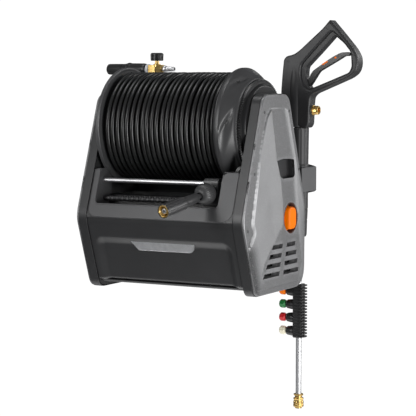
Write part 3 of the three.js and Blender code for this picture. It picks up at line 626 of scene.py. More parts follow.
# ---- side posts and covers ----------------------------------------------
POST_INNER, POST_OUTER = limits("right_post")[0].x, limits("right_post")[1].x
COVER_X = POST_OUTER + 0.3
PLATE_FACE = 235
KNOB = (0, *middle("power_knob").yz)
RECESS_R = 37
REEL_Z = middle("reel_axle").z
REEL = (0, 0, REEL_Z)


def side_view(inset=0):
    return rounded([
        (-72 + 0.7 * inset, 300 - inset, 26), (-178 + 1.06 * inset, -3, 24),
        (-114 + 0.7 * inset, -186 + inset, 22), (160 - inset, -186 + inset, 55),
        (162 - inset, 20, 20), (66 - 0.7 * inset, 300 - inset, 26),
    ], 8)


POCKET = [(-4, 137, 5), (-1, 120, 10), (20, 92, 16), (99, 92, 14), (93, 137, 5), (62, 140, 12), (30, 141, 12)]
PANEL = [
    (-36, 267, 14), (-60, 243, 8), (-91, 167), (-137, -8, 8), (-124, -29, 8), (-152, -62, 10),
    (-106, -172, 10), (128, -172, 30), (148, -120, 20), (150, 20, 12), (56, 267, 14),
]


def chamfer_width(p):
    """The panel's edge: a chamfer that widens down its front as far as its knee, narrow elsewhere."""
    return 3 + 8 * smooth(-p.y, -245, 0) * smooth(-p.y, 61, 57) if p.x < -30 else 3.5


COVER_SCREWS = [(-68, 256), (-119, 110), (-154, -23), (67, 257), (122, 111)]


def vent_loops(grow=0.0):
    loops = []
    for row in range(4):
        low = -78 - 22.3 * row
        front_slot, rear_slot = (-25 - 15.6 * row, 25 - 4.6 * row, 7.5), (49 - 5.3 * row, 99 + 6.3 * row, 2.5)
        for start, end, lean in (front_slot, rear_slot):
            loops.append(rounded([
                (start - lean - grow, low - grow, 1.5), (end - 2 + grow, low - grow, 1.5),
                (end + 1 + grow, low + 11 + grow, 1.5), (start - grow, low + 11 + grow, 1.5),
            ], 3))
    return loops


def vent_facet():
    """The flat triangle round the vents, where the cover is painted darker as shade; its tip runs round the
    knob's recess.
    """
    angles = [math.radians(degrees) for degrees in range(-12, 200, 8)]
    tip = [Vector((KNOB[1] + 43 * math.cos(a), KNOB[2] + 43 * math.sin(a))) for a in angles]
    corners = ((3, -39), (-67, -103), (-82, -134), (-64, -163), (118, -163), (138, -123), (118, -45))
    return tip + [Vector(corner) for corner in corners]


RIM_FRONT = [(300, -72), (-3, -178), (-186, -114)]
VALLEY_FRONT = [(262, -36), (140, -6), (92, 16), (30, 30), (-8, 30), (-60, 24)]
VALLEY_BACK = [(262, 46), (140, 94), (92, 99), (-8, 112), (-60, 116)]


def valley_share(y, z, soft_front=3.0, soft_back=12.0):
    """1 in the shallow valley that runs from the panel's top past the pocket to the knob, 0 outside it."""
    front, back = along_line(z, VALLEY_FRONT), along_line(z, VALLEY_BACK)
    behind_front = smooth(y, front - soft_front, front + soft_front)
    return behind_front * (1 - smooth(y, back - soft_back, back + soft_back)) * smooth(z, -50, -20)


def panel_height(y, z):
    """How far out the panel stands: crowned along the valley's front, lower at its foot and in the valley."""
    crown = 1.3 * (1 - smooth(abs(y - along_line(z, VALLEY_FRONT)), 0, 75))
    return PLATE_FACE + 2.2 + (0.7 + crown) * smooth(z, -172, -60) - 2.6 * valley_share(y, z)


def cover_skin(holes):
    """The cover's painted skin: a flat border, and a raised panel whose edge is a chamfer; its tone carries
    painted shade.
    """
    rim, panel = side_view(1.5), rounded(PANEL, 6)
    foot = evened(panel, 4)
    inward = [b - a for a, b in zip(foot, inset(foot, 1))]
    crest = [p + n * chamfer_width(p) for p, n in zip(foot, inward)]
    rim_edge = inset(evened(rim, 4), 1.7)

    def plate(y, z):
        return PLATE_FACE

    def height(y, z):
        return panel_height(y, z) if inside(Vector((y, z)), crest) else PLATE_FACE

    def bare(p):
        chamfer = inside(p, panel) and not inside(p, crest)
        return chamfer or not inside(p, rim_edge)

    def tone(y, z):
        """Painted shade on the cover, as how dark its paint is made there: 0 is light, 1 is dark; darker
        where the moulding turns from the light.
        """
        spot = Vector((y, z))
        in_panel = inside(spot, panel)
        # Painted shade: the flat vent facet is made darker.
        if inside(spot, vent_facet()):
            return 0.5
        # Painted shadow at the chamfer's lower end.
        if in_panel and not inside(spot, crest) and y < 0 and -60 < z < -12:
            return 0.75 * smooth(-z, 14, 30)
        # Painted shade along the low front, towards the bottom, on the border outside the panel, at the rear
        # and in the valley.
        front = along_line(z, RIM_FRONT)
        low_front = 0.95 * smooth(-z, 40, 80) * (1 - smooth(y - front, 2, 62))
        bottom = 0.55 * smooth(-z, 120, 178)
        border = 0.0 if in_panel or z < -60 else 0.52
        rear = 0.4 * smooth(y, 112, 150) * smooth(-z, -60, 40)
        return max(0.5 * valley_share(y, z, 3.5, 14.0), low_front, bottom, border, rear)

    creases = [(rim_edge, plate), (foot, plate), (crest, panel_height)]
    return relief(rim, lambda y, z: PLATE_FACE - 1.5, holes, creases, height, COVER_X, (Vector(), Y, Z, X),
                  tone=tone, bare=bare)


def side_cover(name, node, right):
    pocket, vents = rounded(POCKET, 6), vent_loops()
    recess = [circle(*KNOB[1:], RECESS_R + 1.2, 64)] if right else []
    meshes = [cover_skin([pocket, *vents, *recess])]
    for loop, outer in zip(vents, vent_loops(1.2)):
        meshes.append(slab([outer, loop], "x", POST_OUTER - 14, COVER_X + 1, 0.4))
    floor = POST_INNER + 14
    walls = [[Vector((x, p.x, p.y)) for p in pocket] for x in (PLATE_FACE + 0.4, floor)]
    lining = [sweep_ring(walls, caps=False), slab([inset(pocket, -1)], "x", floor - 4, floor, 0.6)]
    piece(name, sided(meshes, right), "washer", "cover_metallic_grey", [node], sharp=8)
    piece(name + "_pocket", sided(lining, right), "washer", "casing_dark")


def knob_bowl():
    bowl = ring_profile([
        (218, 8), (218, 39.5, 2), (236.4, 39.5, 0.6), (237.6, 38.4, 0.6), (236.4, 36.6, 0.8),
        (221.5, 36, 2), (221.5, 8),
    ])
    # The bowl is brown to show the shade inside the recess, tinted by the orange knob: painted shade.
    piece("knob_bowl", turned(bowl, X, KNOB), "washer", "cover_metallic_grey", material="bowl_brown")


def side_details(tag, right):
    """The side cover's screws, and the dark sheet behind its vents."""
    head = soft_profile([
        (PLATE_FACE - 1, 0), (PLATE_FACE - 1, 3.6, 0.3), (PLATE_FACE + 0.5, 3.4, 0.5),
        (PLATE_FACE + 0.7, 1.9, 0.2), (PLATE_FACE - 0.6, 1.7), (PLATE_FACE - 0.6, 0),
    ])
    screws = [turned(head, X, (0, y, z), 20) for y, z in COVER_SCREWS]
    # The sheet is black so the vents show dark, as the shade inside the housing does: painted shade.
    sheet = rounded([(-100, -166, 8), (140, -166, 8), (140, -60, 8), (-60, -60, 8)])
    backing = [slab([sheet], "x", POST_INNER + 5, POST_INNER + 7, 0.5)]
    piece("cover_screws_" + tag, sided(screws, right), "washer", "black_plastic")
    piece("vent_backing_" + tag, sided(backing, right), "washer", "black_plastic")


def side_post(name, node, right):
    meshes = [
        slab([side_view(), side_view(4)], "x", POST_INNER, POST_OUTER, 0.9, 3),
        slab([side_view(1)], "x", POST_INNER, POST_INNER + 3, 0.8),
        turned(ring_profile([(199, 12), (199, 25, 1), (206, 27, 1), (206, 12)]), X, REEL, 48),
    ]
    start, end = POST_INNER + 2, POST_OUTER - 1
    stud = soft_profile([(start, 0), (start, 6), (end, 4.6, 0.6), (end, 0)])
    for y, z in ((-118, 70), (-140, -40), (-60, 230), (60, 230), (110, 70)):
        meshes.append(turned(stud, X, (0, y, z), 16))
    piece(name, sided(meshes, right), "washer", "casing_dark", [node])


side_post("right_post_shell", "right_post", True)
side_post("left_post_shell", "left_post", False)
side_cover("right_cover_shell", "right_side_cover", True)
knob_bowl()
side_cover("left_cover_shell", "left_side_cover", False)
side_details("right", True)
side_details("left", False)


# ---- front shells, badge, trough, back and bottom -------------------------
KNEE_Y, KNEE_Z = -178, -3
UP_RUN, UP_RISE = 106, 303
DOWN_RUN, DOWN_RISE = -64, 183
UP = Vector((0, UP_RUN, UP_RISE)).normalized()        # up the sloping front above the knee
DOWN = Vector((0, DOWN_RUN, DOWN_RISE)).normalized()  # up the sloping front below it


def front_y(z):
    slope = UP_RUN / UP_RISE if z > KNEE_Z else DOWN_RUN / DOWN_RISE
    return KNEE_Y + (z - KNEE_Z) * slope


FACE_X = limits("front_cover")[1].x
LEFT, RIGHT = limits("reel_trough")[0].x - 0.3, limits("reel_trough")[1].x + 0.3
CREASE, SILL, TAB_TOP = -2, 30, 115
SINK = 3


def on_slope(slope):
    """A plate frame on the sloping front: u across, v up the slope from the crease, depth outwards."""
    out = X.cross(slope)
    return Vector((0, front_y(CREASE), CREASE)) - out * SINK, X, slope, out


def up_slope(z, slope):
    """A level's distance from the crease, along the slope."""
    return (z - CREASE) / slope.z


def bezel():
    face = on_slope(UP)
    rise, sill = up_slope(TAB_TOP, UP), up_slope(SILL, UP)
    start, end = -FACE_X + 3, FACE_X - 2
    outline = rounded([
        (start, 0, 26), (end, 0, 34), (end, rise, 3), (RIGHT, rise, 22), (RIGHT, sill, 14),
        (LEFT, sill, 14), (LEFT, rise, 22), (start, rise, 20),
    ], 8)
    meshes = [slab([outline], "x", -3, 1, 1.6, 3, frame_at=face)]
    depth, top = -84, TAB_TOP - 1
    cheek = rounded([
        (front_y(CREASE) + 5, CREASE), (front_y(TAB_TOP - 8) + 4, TAB_TOP - 8, 0),
        (front_y(TAB_TOP) + 12, top, 6), (depth, top, 3), (depth, CREASE),
    ])
    for inner, outer, cheek_start in ((LEFT, start, LEFT - 3), (RIGHT, end, RIGHT)):
        meshes.append(slab([cheek], "x", cheek_start, cheek_start + 3, 0.8))
        x0, x1 = sorted((inner, outer))
        meshes.append(block(x0 + 1, x1 - 1, front_y(TAB_TOP) + 8, depth, top - 3, top, 1))
    y0, y1, z0, z1 = front_y(SILL) + 1, -150, SILL - 3, SILL - 0.2
    ledge = rounded([(y0, z0, 1), (y0, z1, 1), (y1, z1, 1), (y1, z0, 1)], 3)
    meshes.append(slab([ledge], "x", LEFT + 1, RIGHT - 1, 0.8))
    piece("front_bezel_shell", meshes, "washer", "bezel_grey", ["front_bezel"])
    border = rounded([
        (-FACE_X, -1), (FACE_X, -1), (FACE_X, rise - 1, 3), (RIGHT + 2, rise - 1, 20),
        (RIGHT + 2, sill - 2, 10), (LEFT - 2, sill - 2, 10), (LEFT - 2, rise - 1, 20), (-FACE_X, rise - 1, 3),
    ], 6)
    piece("front_frame", slab([border], "x", -5, 0.1, 1.2, 3, frame_at=face), "washer", "casing_dark")


def front_cover():
    """The lower front: soft-edged, with a wide recess that runs out at the bottom."""
    bottom, top = up_slope(-169, DOWN), up_slope(-54, DOWN)
    left, right, corner = -194, 192, 26
    outline = rounded([(-FACE_X, bottom, 10), (FACE_X, bottom, 10), (FACE_X, -0.5, 2), (-FACE_X, -0.5, 2)], 6)

    def height(u, v):
        dx, dy = max(left + corner - u, u - right + corner), v - (top - corner)
        away = math.hypot(max(dx, 0), max(dy, 0)) + min(max(dx, dy), 0) - corner
        sunk = 8.5 * (1 - smooth(away, -22, 2))
        crease = 2.6 * (1 - smooth(-v, 0, 26)) ** 2
        edge = min(FACE_X - abs(u), -0.5 - v + 1.5)
        roll = 0.7 * (1 - min(1, max(0, edge / 1.6))) ** 2
        tuck = 6 * (1 - smooth(v, bottom, bottom + 9)) ** 2
        return 1 - sunk - roll - tuck - crease

    creases = [(inset(evened(outline, 3), 1.2), height)]
    skin = relief(outline, height, [], creases, height, -22, on_slope(DOWN), 3.0, 3.0)
    piece("front_cover_shell", skin, "washer", "casing_dark", ["front_cover"], sharp=50)


def badge():
    """A plain brushed plate whose rim stands a little proud."""
    face = on_slope(DOWN)
    bottom, centre, top = (up_slope(z, DOWN) for z in (-86, -74.2, -62.5))
    outline = rounded([(-73, bottom, 3), (81, bottom, 14), (88, top, 1.5), (-93, top, 1.5)], 6)
    inner = [p * 0.965 + Vector((0, centre)) * 0.035 for p in outline]
    plate = slab([outline], "x", -9.5, -4.0, 0.9, 3, frame_at=face)
    lip = slab([outline, inner], "x", -4.2, -3.7, 0.2, 1, frame_at=face)
    piece("badge_plate", [plate, lip], "washer", "badge_silver", ["badge"])


def folded(points, thick, x0, x1, edge=0.8):
    """A folded sheet: a path of (y, z, reach) corners given a thickness and run along X."""
    path = rounded([(points[0][0], points[0][1]), *points[1:-1], (points[-1][0], points[-1][1])], 6)
    left, right = [], []
    for i, p in enumerate(path):
        ahead = (path[min(i + 1, len(path) - 1)] - path[max(i - 1, 0)]).normalized()
        side = Vector((-ahead.y, ahead.x)) * thick / 2
        left.append(p + side)
        right.append(p - side)
    return slab([left + right[::-1]], "x", x0, x1, edge)


def trough():
    """The sheet under the reel: a sill, a step and a floor that follows the winding up at the back."""
    low, high = limits("reel_trough")
    back = [(157 * math.sin(a), REEL_Z - 157 * math.cos(a)) for a in (0.3, 0.4, 0.5, 0.645)]
    path = [(-149, 22.5), (-95.5, 22.5, 4), (-95.5, 46.5, 4), (20, 46.5, 6), *back, (140, 62)]
    ribs = [block(x - 1.2, x + 1.2, -94, -91.5, 28, 44, 0.5) for x in range(-120, 121, 60)]
    meshes = [folded(path, 3, low.x, high.x), *ribs]
    piece("trough_sheet", meshes, "washer", "black_plastic", ["reel_trough"])


def ribbed_shell(name, node, path, thick, rib, reach, pitch, half, edge):
    """A folded sheet across the housing, with ribs on its outside at every pitch."""
    width = limits("rear_cover")[1].x
    meshes = [folded(path, thick, -width, width, 1)]
    meshes += [slab([rib], "x", x - half, x + half, edge) for x in range(-reach, reach + 1, pitch)]
    piece(name, meshes, "washer", "casing_dark", [node])


def shells():
    back = [(146.5, 58.5), (156, 20, 15), (154, -129.5, 38), (126.5, -164.5)]
    back_rib = rounded([(156.8, -100, 1), (158.6, -96, 1), (158.6, -4, 1), (156.8, 0, 1)], 3)
    ribbed_shell("rear_shell", "rear_cover", back, 3.2, back_rib, 160, 40, 2, 0.8)
    bottom = [(-106, -166), (-103, -170.5, 4), (103.5, -170.5, 8), (119.5, -165.5)]
    bottom_rib = rounded([(-80, -173.5, 0.8), (80, -173.5, 0.8), (80, -171, 0.8), (-80, -171, 0.8)], 2)
    ribbed_shell("bottom_shell", "bottom_tray", bottom, 3, bottom_rib, 150, 30, 1.5, 0.5)


bezel()
front_cover()
badge()
trough()
shells()


# ---- power knob -----------------------------------------------------------
def power_knob():
    """An orange disc with a soft-edged grip across it."""
    low, high = limits("power_knob")
    base = soft_profile([
        (low.x, 0), (low.x, 6), (222, 6), (222, 31, 1), (226.5, 31, 1.6), (228, 24), (228, 0),
    ])
    levels = ((226, 2.2), (230, 1.4), (237, 0.6), (240, -0.2), (242, -1.6), (243, -3.2), (high.x, -5.4))
    rings = []
    for x, grow in levels:
        w, h = 20.5 + grow, 27 + grow
        outline = rounded([(-w, -h, 15), (w, -h, 15), (w, h, 15), (-w, h, 15)], 10)
        rings.append([Vector((x, KNOB[1] + p.x, KNOB[2] + p.y)) for p in outline])
    meshes = [turned(base, X, KNOB), sweep_ring(rings)]
    piece("knob_grip", meshes, "knob", "orange_plastic", ["power_knob"], sharp=50)


power_knob()


# ---- reel -----------------------------------------------------------------
FLANGE_R = limits("reel_left_flange")[1].z - REEL_Z
WIND_LOW, WIND_HIGH = limits("hose_winding")
HOSE_R = (WIND_HIGH.z - WIND_LOW.z) / 2
HOSE_D = 11


def uneven(turn, layer):
    """How far a hose turn lies from its even place, drifting from one turn's value to the next one's."""
    this, following = (noise.noise(Vector((math.floor(t) * 3.7, layer * 9.0, 0.3))) for t in (turn, turn + 1))
    return this + (following - this) * (turn % 1)


def winding():
    """Two layers of hose: the outer turns lie a little uneven, so the inner ones show between them."""
    turns, per_turn = 22, 72
    pitch = (WIND_HIGH.x - WIND_LOW.x - HOSE_D) / (turns - 0.3)
    start, margin = WIND_LOW.x + HOSE_D / 2, 5.6
    meshes = []
    for layer, (radius, shift) in enumerate(((HOSE_R - HOSE_D / 2, 0.0), (HOSE_R - HOSE_D * 1.42, 0.5))):
        path = []
        for k in range(int((turns - shift * 2) * per_turn) + 1):
            turn = k / per_turn
            drift = 3.4 * uneven(turn, layer) + 0.5 * noise.noise(Vector((turn * 1.3, layer, 5.1)))
            x = min(max(start + pitch * (turn + shift) + drift, WIND_LOW.x + margin), WIND_HIGH.x - margin)
            r = radius + 0.8 * noise.noise(Vector((turn * 0.9, 3.3, layer)))
            a = 2 * math.pi * turn
            path.append((x, r * math.sin(a), REEL_Z + r * math.cos(a)))
        meshes.append(tube(path, HOSE_D / 2, 14))
    piece("wound_hose", meshes, "reel", "hose_rubber", ["hose_winding"], sharp=60)


def flange():
    """The reel's left disc, with twelve ribs on its outer face."""
    x = limits("reel_left_flange")[0].x + 4
    profile = ring_profile([
        (x - 4, 12), (x - 4, 30, 2), (x, 36, 2), (x, FLANGE_R - 10, 2), (x - 4, FLANGE_R - 7, 1.5),
        (x - 4, FLANGE_R, 2), (x + 6, FLANGE_R, 2), (x + 6, FLANGE_R - 4, 1.2), (x + 4.7, FLANGE_R - 8, 1.5),
        (x + 4.7, 12),
    ])
    meshes = [turned(profile, X, REEL, 128)]
    rib = rounded([(38, -1.6, 0.8), (136, -1.6, 0.8), (136, 1.6, 0.8), (38, 1.6, 0.8)], 2)
    for a in around(12):
        out, side = Vector((0, math.cos(a), math.sin(a))), Vector((0, -math.sin(a), math.cos(a)))
        meshes.append(slab([rib], "x", 0, 3.4, 0.8, 1, frame_at=(Vector((x - 3, 0, REEL_Z)), out, side, X)))
    piece("flange_disc", meshes, "reel", "bezel_grey", ["reel_left_flange"])


def spring_cap():
    """A broad cone with spiral flutes, and a ring of fine teeth on its small end."""
    back = limits("reel_spring_cap")[0].x
    flutes, cone_start, cone_end, cone_steps, teeth = 7, 152, 182, 24, 118
    cone_length = cone_end - cone_start

    def fluted(angle, along, radius):
        if not cone_start < along < cone_end or radius < 110:
            return radius
        t = (along - cone_start) / cone_length
        phase = (angle * flutes / (2 * math.pi) + t * 0.62) % 1
        dent = phase / 0.1 if phase < 0.1 else max(0, 1 - (phase - 0.1) / 0.54)
        return radius - 8.5 * dent ** 1.3 * math.sin(math.pi * min(1, t * 1.12 + 0.04)) ** 0.8

    shares = [k / cone_steps for k in range(1, cone_steps)]
    cone = [(cone_start + cone_length * share, 147.2 - 24.4 * share ** 1.12) for share in shares]
    profile = [
        (back, 24), (back, 139), (134, 141), (139, 146.5), (142, 147.6), (149, 147.8), (151, 147.5), *cone,
        (183, 122.6), (185.6, 122.2), (186.4, 121), (186.4, 24), (back, 24),
    ]
    shell = turned(profile, X, REEL, 336, fluted)
    piece("cap_shell", shell, "reel", "bezel_grey", ["reel_spring_cap"], material="cap_grey", sharp=30)
    toothed = []
    for k, a in enumerate(around(2 * teeth)):
        r = 116.2 if k % 2 else 119.6
        toothed.append(Vector((r * math.cos(a), REEL_Z + r * math.sin(a))))
    ring = slab([toothed, circle(0, REEL_Z, 24, 48)], "x", 186.6, 194, 0.3, 1)
    # The hub's guard disc is black so it shows as the shade between the teeth and the post: painted shade.
    hub = turned(ring_profile([(193.6, 40), (193.6, 108, 1), (202.5, 104, 2.5), (202.5, 40)]), X, REEL, 96)
    piece("cap_gear_teeth", [ring, hub], "reel", "black_plastic", sharp=30)
    head = soft_profile([(-3, 0), (-3, 6.2, 0.3), (1.4, 6.0, 0.5), (1.6, 3.6, 0.2), (-0.6, 3.2), (-0.6, 0)])
    heads = []
    for k in range(flutes):
        a = 2 * math.pi * (k + 0.34) / flutes
        slope = Vector((0.62, 0.785 * math.cos(a), 0.785 * math.sin(a))).normalized()
        spot = Vector((162, 132.6 * math.cos(a), REEL_Z + 132.6 * math.sin(a)))
        heads.append(turned(head, slope, spot, 20))
    piece("cap_screws", heads, "reel", "black_plastic")


def drum():
    x0, x1 = (corner.x for corner in limits("reel_drum"))
    r, wall = 108, 4
    profile = [(x0, 12), (x0, r, 0.5), (x1, r, 0.5), (x1, r - wall), (x0 + wall, r - wall), (x0 + wall, 12)]
    piece("drum_shell", turned(ring_profile(profile), X, REEL, 96), "reel", "black_plastic", ["reel_drum"])


winding()
flange()
spring_cap()
drum()


# ---- level wind and hose end ------------------------------------------------
ROD_LOW, ROD_HIGH = limits("guide_rod")
_, TRAVERSE_Y, ROD_Z = middle("guide_rod")
SCREW_LOW, SCREW_HIGH = limits("lead_screw")
SCREW_Z = middle("lead_screw").z
CAR_LOW, CAR_HIGH = limits("carriage")
EYE_X, EYE_Z = middle("carriage").x, 63


def level_wind():
    """The polished rod, and the screw whose two threads of opposite hand cross."""
    rod = soft_profile([(ROD_LOW.x, 0), (ROD_LOW.x, 5.7, 0.8), (ROD_HIGH.x, 5.7, 0.8), (ROD_HIGH.x, 0)])
    piece("polished_rod", turned(rod, X, (0, TRAVERSE_Y, ROD_Z), 48), "washer", "steel", ["guide_rod"])
    start, end, pitch, steps = -170, 150, 14.5, 300

    def crossed(angle, along, radius):
        if radius < 7 or along < start + 2 or along > end - 2:
            return radius
        phases = [(angle / (2 * math.pi) * hand + along / pitch) % 1 for hand in (1, -1)]
        deepest = max(0, *(1 - abs(phase - 0.5) / 0.22 for phase in phases))
        return radius - 1.9 * min(1, deepest * 1.6)

    threaded = [(start + (end - start) * k / steps, 7.2) for k in range(steps + 1)]
    profile = [
        (SCREW_LOW.x, 0), (SCREW_LOW.x, 5), (start - 0.1, 5), *threaded,
        (end + 0.1, 5), (SCREW_HIGH.x, 5), (SCREW_HIGH.x, 0),
    ]
    mesh = turned(profile, X, (0, TRAVERSE_Y, SCREW_Z), 36, crossed)
    piece("crossed_screw", mesh, "screw", "screw_steel", ["lead_screw"], sharp=50)


def carriage():
    y0, y1, z0, z1 = CAR_LOW.y, CAR_HIGH.y, CAR_LOW.z, CAR_HIGH.z
    outline = rounded([(y0, z0, 7), (y1, z0, 7), (y1, z1, 11), (y0, z1, 11)], 8)
    holes = [circle(TRAVERSE_Y, ROD_Z, 6.4, 32), circle(TRAVERSE_Y, SCREW_Z, 8.2, 32)]
    meshes = [slab([outline, *holes], "x", CAR_LOW.x, CAR_HIGH.x, 1.8, 3)]
    collar = ring_profile([(y0 - 3.5, 6.2), (y0 - 3.5, 15, 1.5), (y0 + 2, 16, 1), (y0 + 2, 6.2)])
    meshes.append(turned(collar, Y, (EYE_X, 0, EYE_Z), 48))
    for x in (CAR_LOW.x + 0.2, CAR_HIGH.x - 0.2):
        lip = ring_profile([(x - 1.6, 6.5), (x - 1.6, 9.6, 0.6), (x + 1.6, 9.6, 0.6), (x + 1.6, 6.5)])
        meshes.append(turned(lip, X, (0, TRAVERSE_Y, ROD_Z), 40))
    meshes.append(block(CAR_LOW.x + 4, CAR_HIGH.x - 4, y0 - 1.4, y0 + 1, 76, 80, 0.6))
    piece("carriage_block", meshes, "carriage", "black_plastic", ["carriage"], material="cap_grey")


def hose_to_reel():
    """The short hose from the carriage's eye to the winding, over the traverse."""
    low, high = limits("hose_lead")
    front = Vector((EYE_X, low.y, EYE_Z - 1.5))
    over, back = Vector((EYE_X, TRAVERSE_Y, EYE_Z)), Vector((EYE_X, high.y - 2, high.z - 6.5))
    path = [bend(front, over, back, k / 24) for k in range(25)]
    piece("hose_to_reel", tube(path, HOSE_D / 2, 20), "carriage", "hose_rubber", ["hose_lead"])


BALL = Vector((EYE_X, -164, EYE_Z))
TIP_FACE = Vector((101, -320, 31))
RUN = (TIP_FACE - BALL).normalized()
REACH = (TIP_FACE - BALL).length


def hose_end():
    """Along the hose's free end: ball stopper, bend restrictor, ribbed grip, brass ring and steel tip."""
    grip = REACH - 78

    def ridged(angle, along, radius):
        return radius * (1 + 0.016 * math.cos(34 * angle + along * 0.12)) if radius > 12 else radius

    arc = [math.radians(degrees) for degrees in range(156, 25, -6)]
    ball = [(26 * math.cos(a), 26 * math.sin(a)) for a in arc]
    profile = [(-23.5, 0), (-23.5, 9), *ball, (23.0, 9.6), (20, 8.8), (17, 7), (17, 0)]
    piece("ball_body", turned(profile, RUN, BALL, 180, ridged), "carriage", "black_plastic", ["ball_stopper"],
          material="cap_grey", sharp=50)
    sleeve = soft_profile([
        (17.5, 0), (17.5, 5.6), (30, 5.6, 0.5), (31, 6, 0.5), (34, 10.2, 1.2), (37, 11.2, 1),
        (grip - 14, 12.6, 1), (grip - 12, 12.0, 0.5), (grip - 4, 12.6, 0.8), (grip - 4, 6.5),
        (REACH - 20, 6.5), (REACH - 20, 0),
    ])
    piece("restrictor_sleeve", turned(sleeve, RUN, BALL, 48), "carriage", "black_plastic",
          ["bend_restrictor"], material="cap_grey")

    def fluted(angle, along, radius):
        groove = (angle * 12 / (2 * math.pi)) % 1 < 0.16
        return radius - 1.4 if groove and radius >= 15.7 and grip <= along <= REACH - 3 else radius

    spans = [(grip + 7 + (REACH - 11 - grip) * k / 8, 16.4 + 0.5 * k / 8) for k in range(9)]
    shell = [
        (grip - 3, 7.2), (grip - 3, 13.4), (grip + 1, 14.6), *spans, (REACH - 1.2, 16.9), (REACH, 16.2),
        (REACH, 15.5), (REACH - 19, 15.5), (REACH - 19, 7.2), (grip - 3, 7.2),
    ]
    piece("grip_sleeve", turned(shell, RUN, BALL, 192, fluted), "connector_nut", "black_plastic",
          ["connector_grip"], material="cap_grey", sharp=35)
    ring = ring_profile([
        (REACH - 16, 8.9), (REACH - 16, 15.2, 0.5), (REACH - 0.8, 15.2, 0.8), (REACH - 0.6, 12.6, 0.8),
        (REACH - 4, 11.4, 0.8), (REACH - 9, 9.0, 0.6),
    ])
    piece("ring_insert", turned(ring, RUN, BALL, 64), "connector_nut", "brass", ["connector_ring"])
    tip = ring_profile([
        (REACH - 19.7, 2.5), (REACH - 19.7, 6.6, 0.3), (REACH - 18, 7.6, 0.5), (REACH - 6, 7.6, 0.8),
        (REACH - 3, 6, 0.8), (REACH - 3, 2.5, 0.4),
    ])
    piece("plug_tip", turned(tip, RUN, BALL, 48), "carriage", "steel", ["connector_tip"])


level_wind()
carriage()
hose_to_reel()
hose_end()


# ---- gun and lance ----------------------------------------------------------
PIPE_LOW, PIPE_HIGH = limits("lance_pipe")
LANCE_X, GUN_Y, _ = middle("lance_pipe")
LANCE = (LANCE_X, GUN_Y, 0)
GUN_HALF, INLET_Z = 19, 257
GUN_OUTSIDE = [
    (186, 234, 14), (208, 213, 8), (228, 212, 5), (234, 222, 5), (236, 272, 7), (238, 290, 6), (247, 299, 6),
    (306, 323, 12), (345, 339, 12), (362, 352, 10), (368, 372, 10), (366, 392, 9), (354, 412, 10),
    (320, 451, 8), (290, 484, 3), (270, 462, 14), (247, 443, 14), (207, 409, 10), (190, 398, 9),
    (170, 394, 5), (162, 386, 5), (158, 350, 12), (154, 300, 12), (158, 262, 12),
]
GUN_LOOP = [
    (302, 444, 4), (327, 424, 8), (345, 402, 8), (347, 366, 6), (340, 352, 6), (294, 334, 8),
    (252, 318, 5), (236, 312, 3), (228, 322, 3), (222, 344, 8), (224, 366, 6), (264, 405, 10),
]
GUN_BAND = [
    (295, 456, 8), (328, 428, 10), (347, 402, 8), (351, 364, 6), (342, 350, 6), (296, 333, 8),
    (252, 316, 6), (234, 308, 5), (217, 318, 8), (209, 344, 10), (211, 371, 10), (251, 413, 10),
]
TRIGGER = [
    (218, 330, 2), (229, 338, 3), (232, 348, 3), (239, 357, 4), (277, 382, 8), (298, 394, 5),
    (316, 402, 5), (335, 403, 3), (344, 399, 3), (338, 393, 3), (327, 393, 3), (306, 381, 6),
    (258, 355, 5), (249, 342, 5), (239, 327, 4), (230, 315, 3), (222, 317, 3),
]


def kept_side(mesh, y, front):
    """The part of a mesh in front of (towards -Y) or behind a plane across Y, closed where it is cut."""
    bm = bmesh.new()
    bm.from_mesh(mesh)
    bmesh.ops.remove_doubles(bm, verts=bm.verts, dist=1e-4)
    every = bm.verts[:] + bm.edges[:] + bm.faces[:]
    cut = bmesh.ops.bisect_plane(bm, geom=every, plane_co=(0, y, 0), plane_no=(0, 1, 0),
                                 clear_outer=front, clear_inner=not front)
    rim = [e for e in cut["geom_cut"] if isinstance(e, bmesh.types.BMEdge)]
    bmesh.ops.triangle_fill(bm, edges=rim, use_beauty=True, use_dissolve=True)
    bm.to_mesh(mesh)
    bm.free()
    return mesh


def grown(loop, centre, distance):
    """An outline moved away from a centre."""
    return [p + (p - Vector(centre)).normalized() * distance for p in loop]


def gun_solids():
    """The gun's moulding before it is split: body, thinner band round the opening, barrel and inlet boss."""
    band, loop = rounded(GUN_BAND, 8), rounded(GUN_LOOP, 8)
    body = slab([rounded(GUN_OUTSIDE, 8), band], "y", GUN_Y - GUN_HALF, GUN_Y + GUN_HALF, 5.5, 5)
    inner = slab([grown(band, (285, 380), 2.5), loop], "y", GUN_Y - 12, GUN_Y + 12, 3, 3)
    barrel = soft_profile([
        (214, 0), (214, 20), (224, 22.5, 4), (330, 21.5, 10), (376, 18, 12), (388, 8, 4), (388, 0),
    ])
    boss = ring_profile([(222, 9.4), (222, 15.5, 1), (236, 16.5, 2.5), (237.6, 14.5, 1), (237.6, 11)])
    return [
        body, inner, turned(barrel, Z, (LANCE_X - 8, GUN_Y, 0), 48), turned(boss, X, (0, GUN_Y, INLET_Z), 48),
    ]


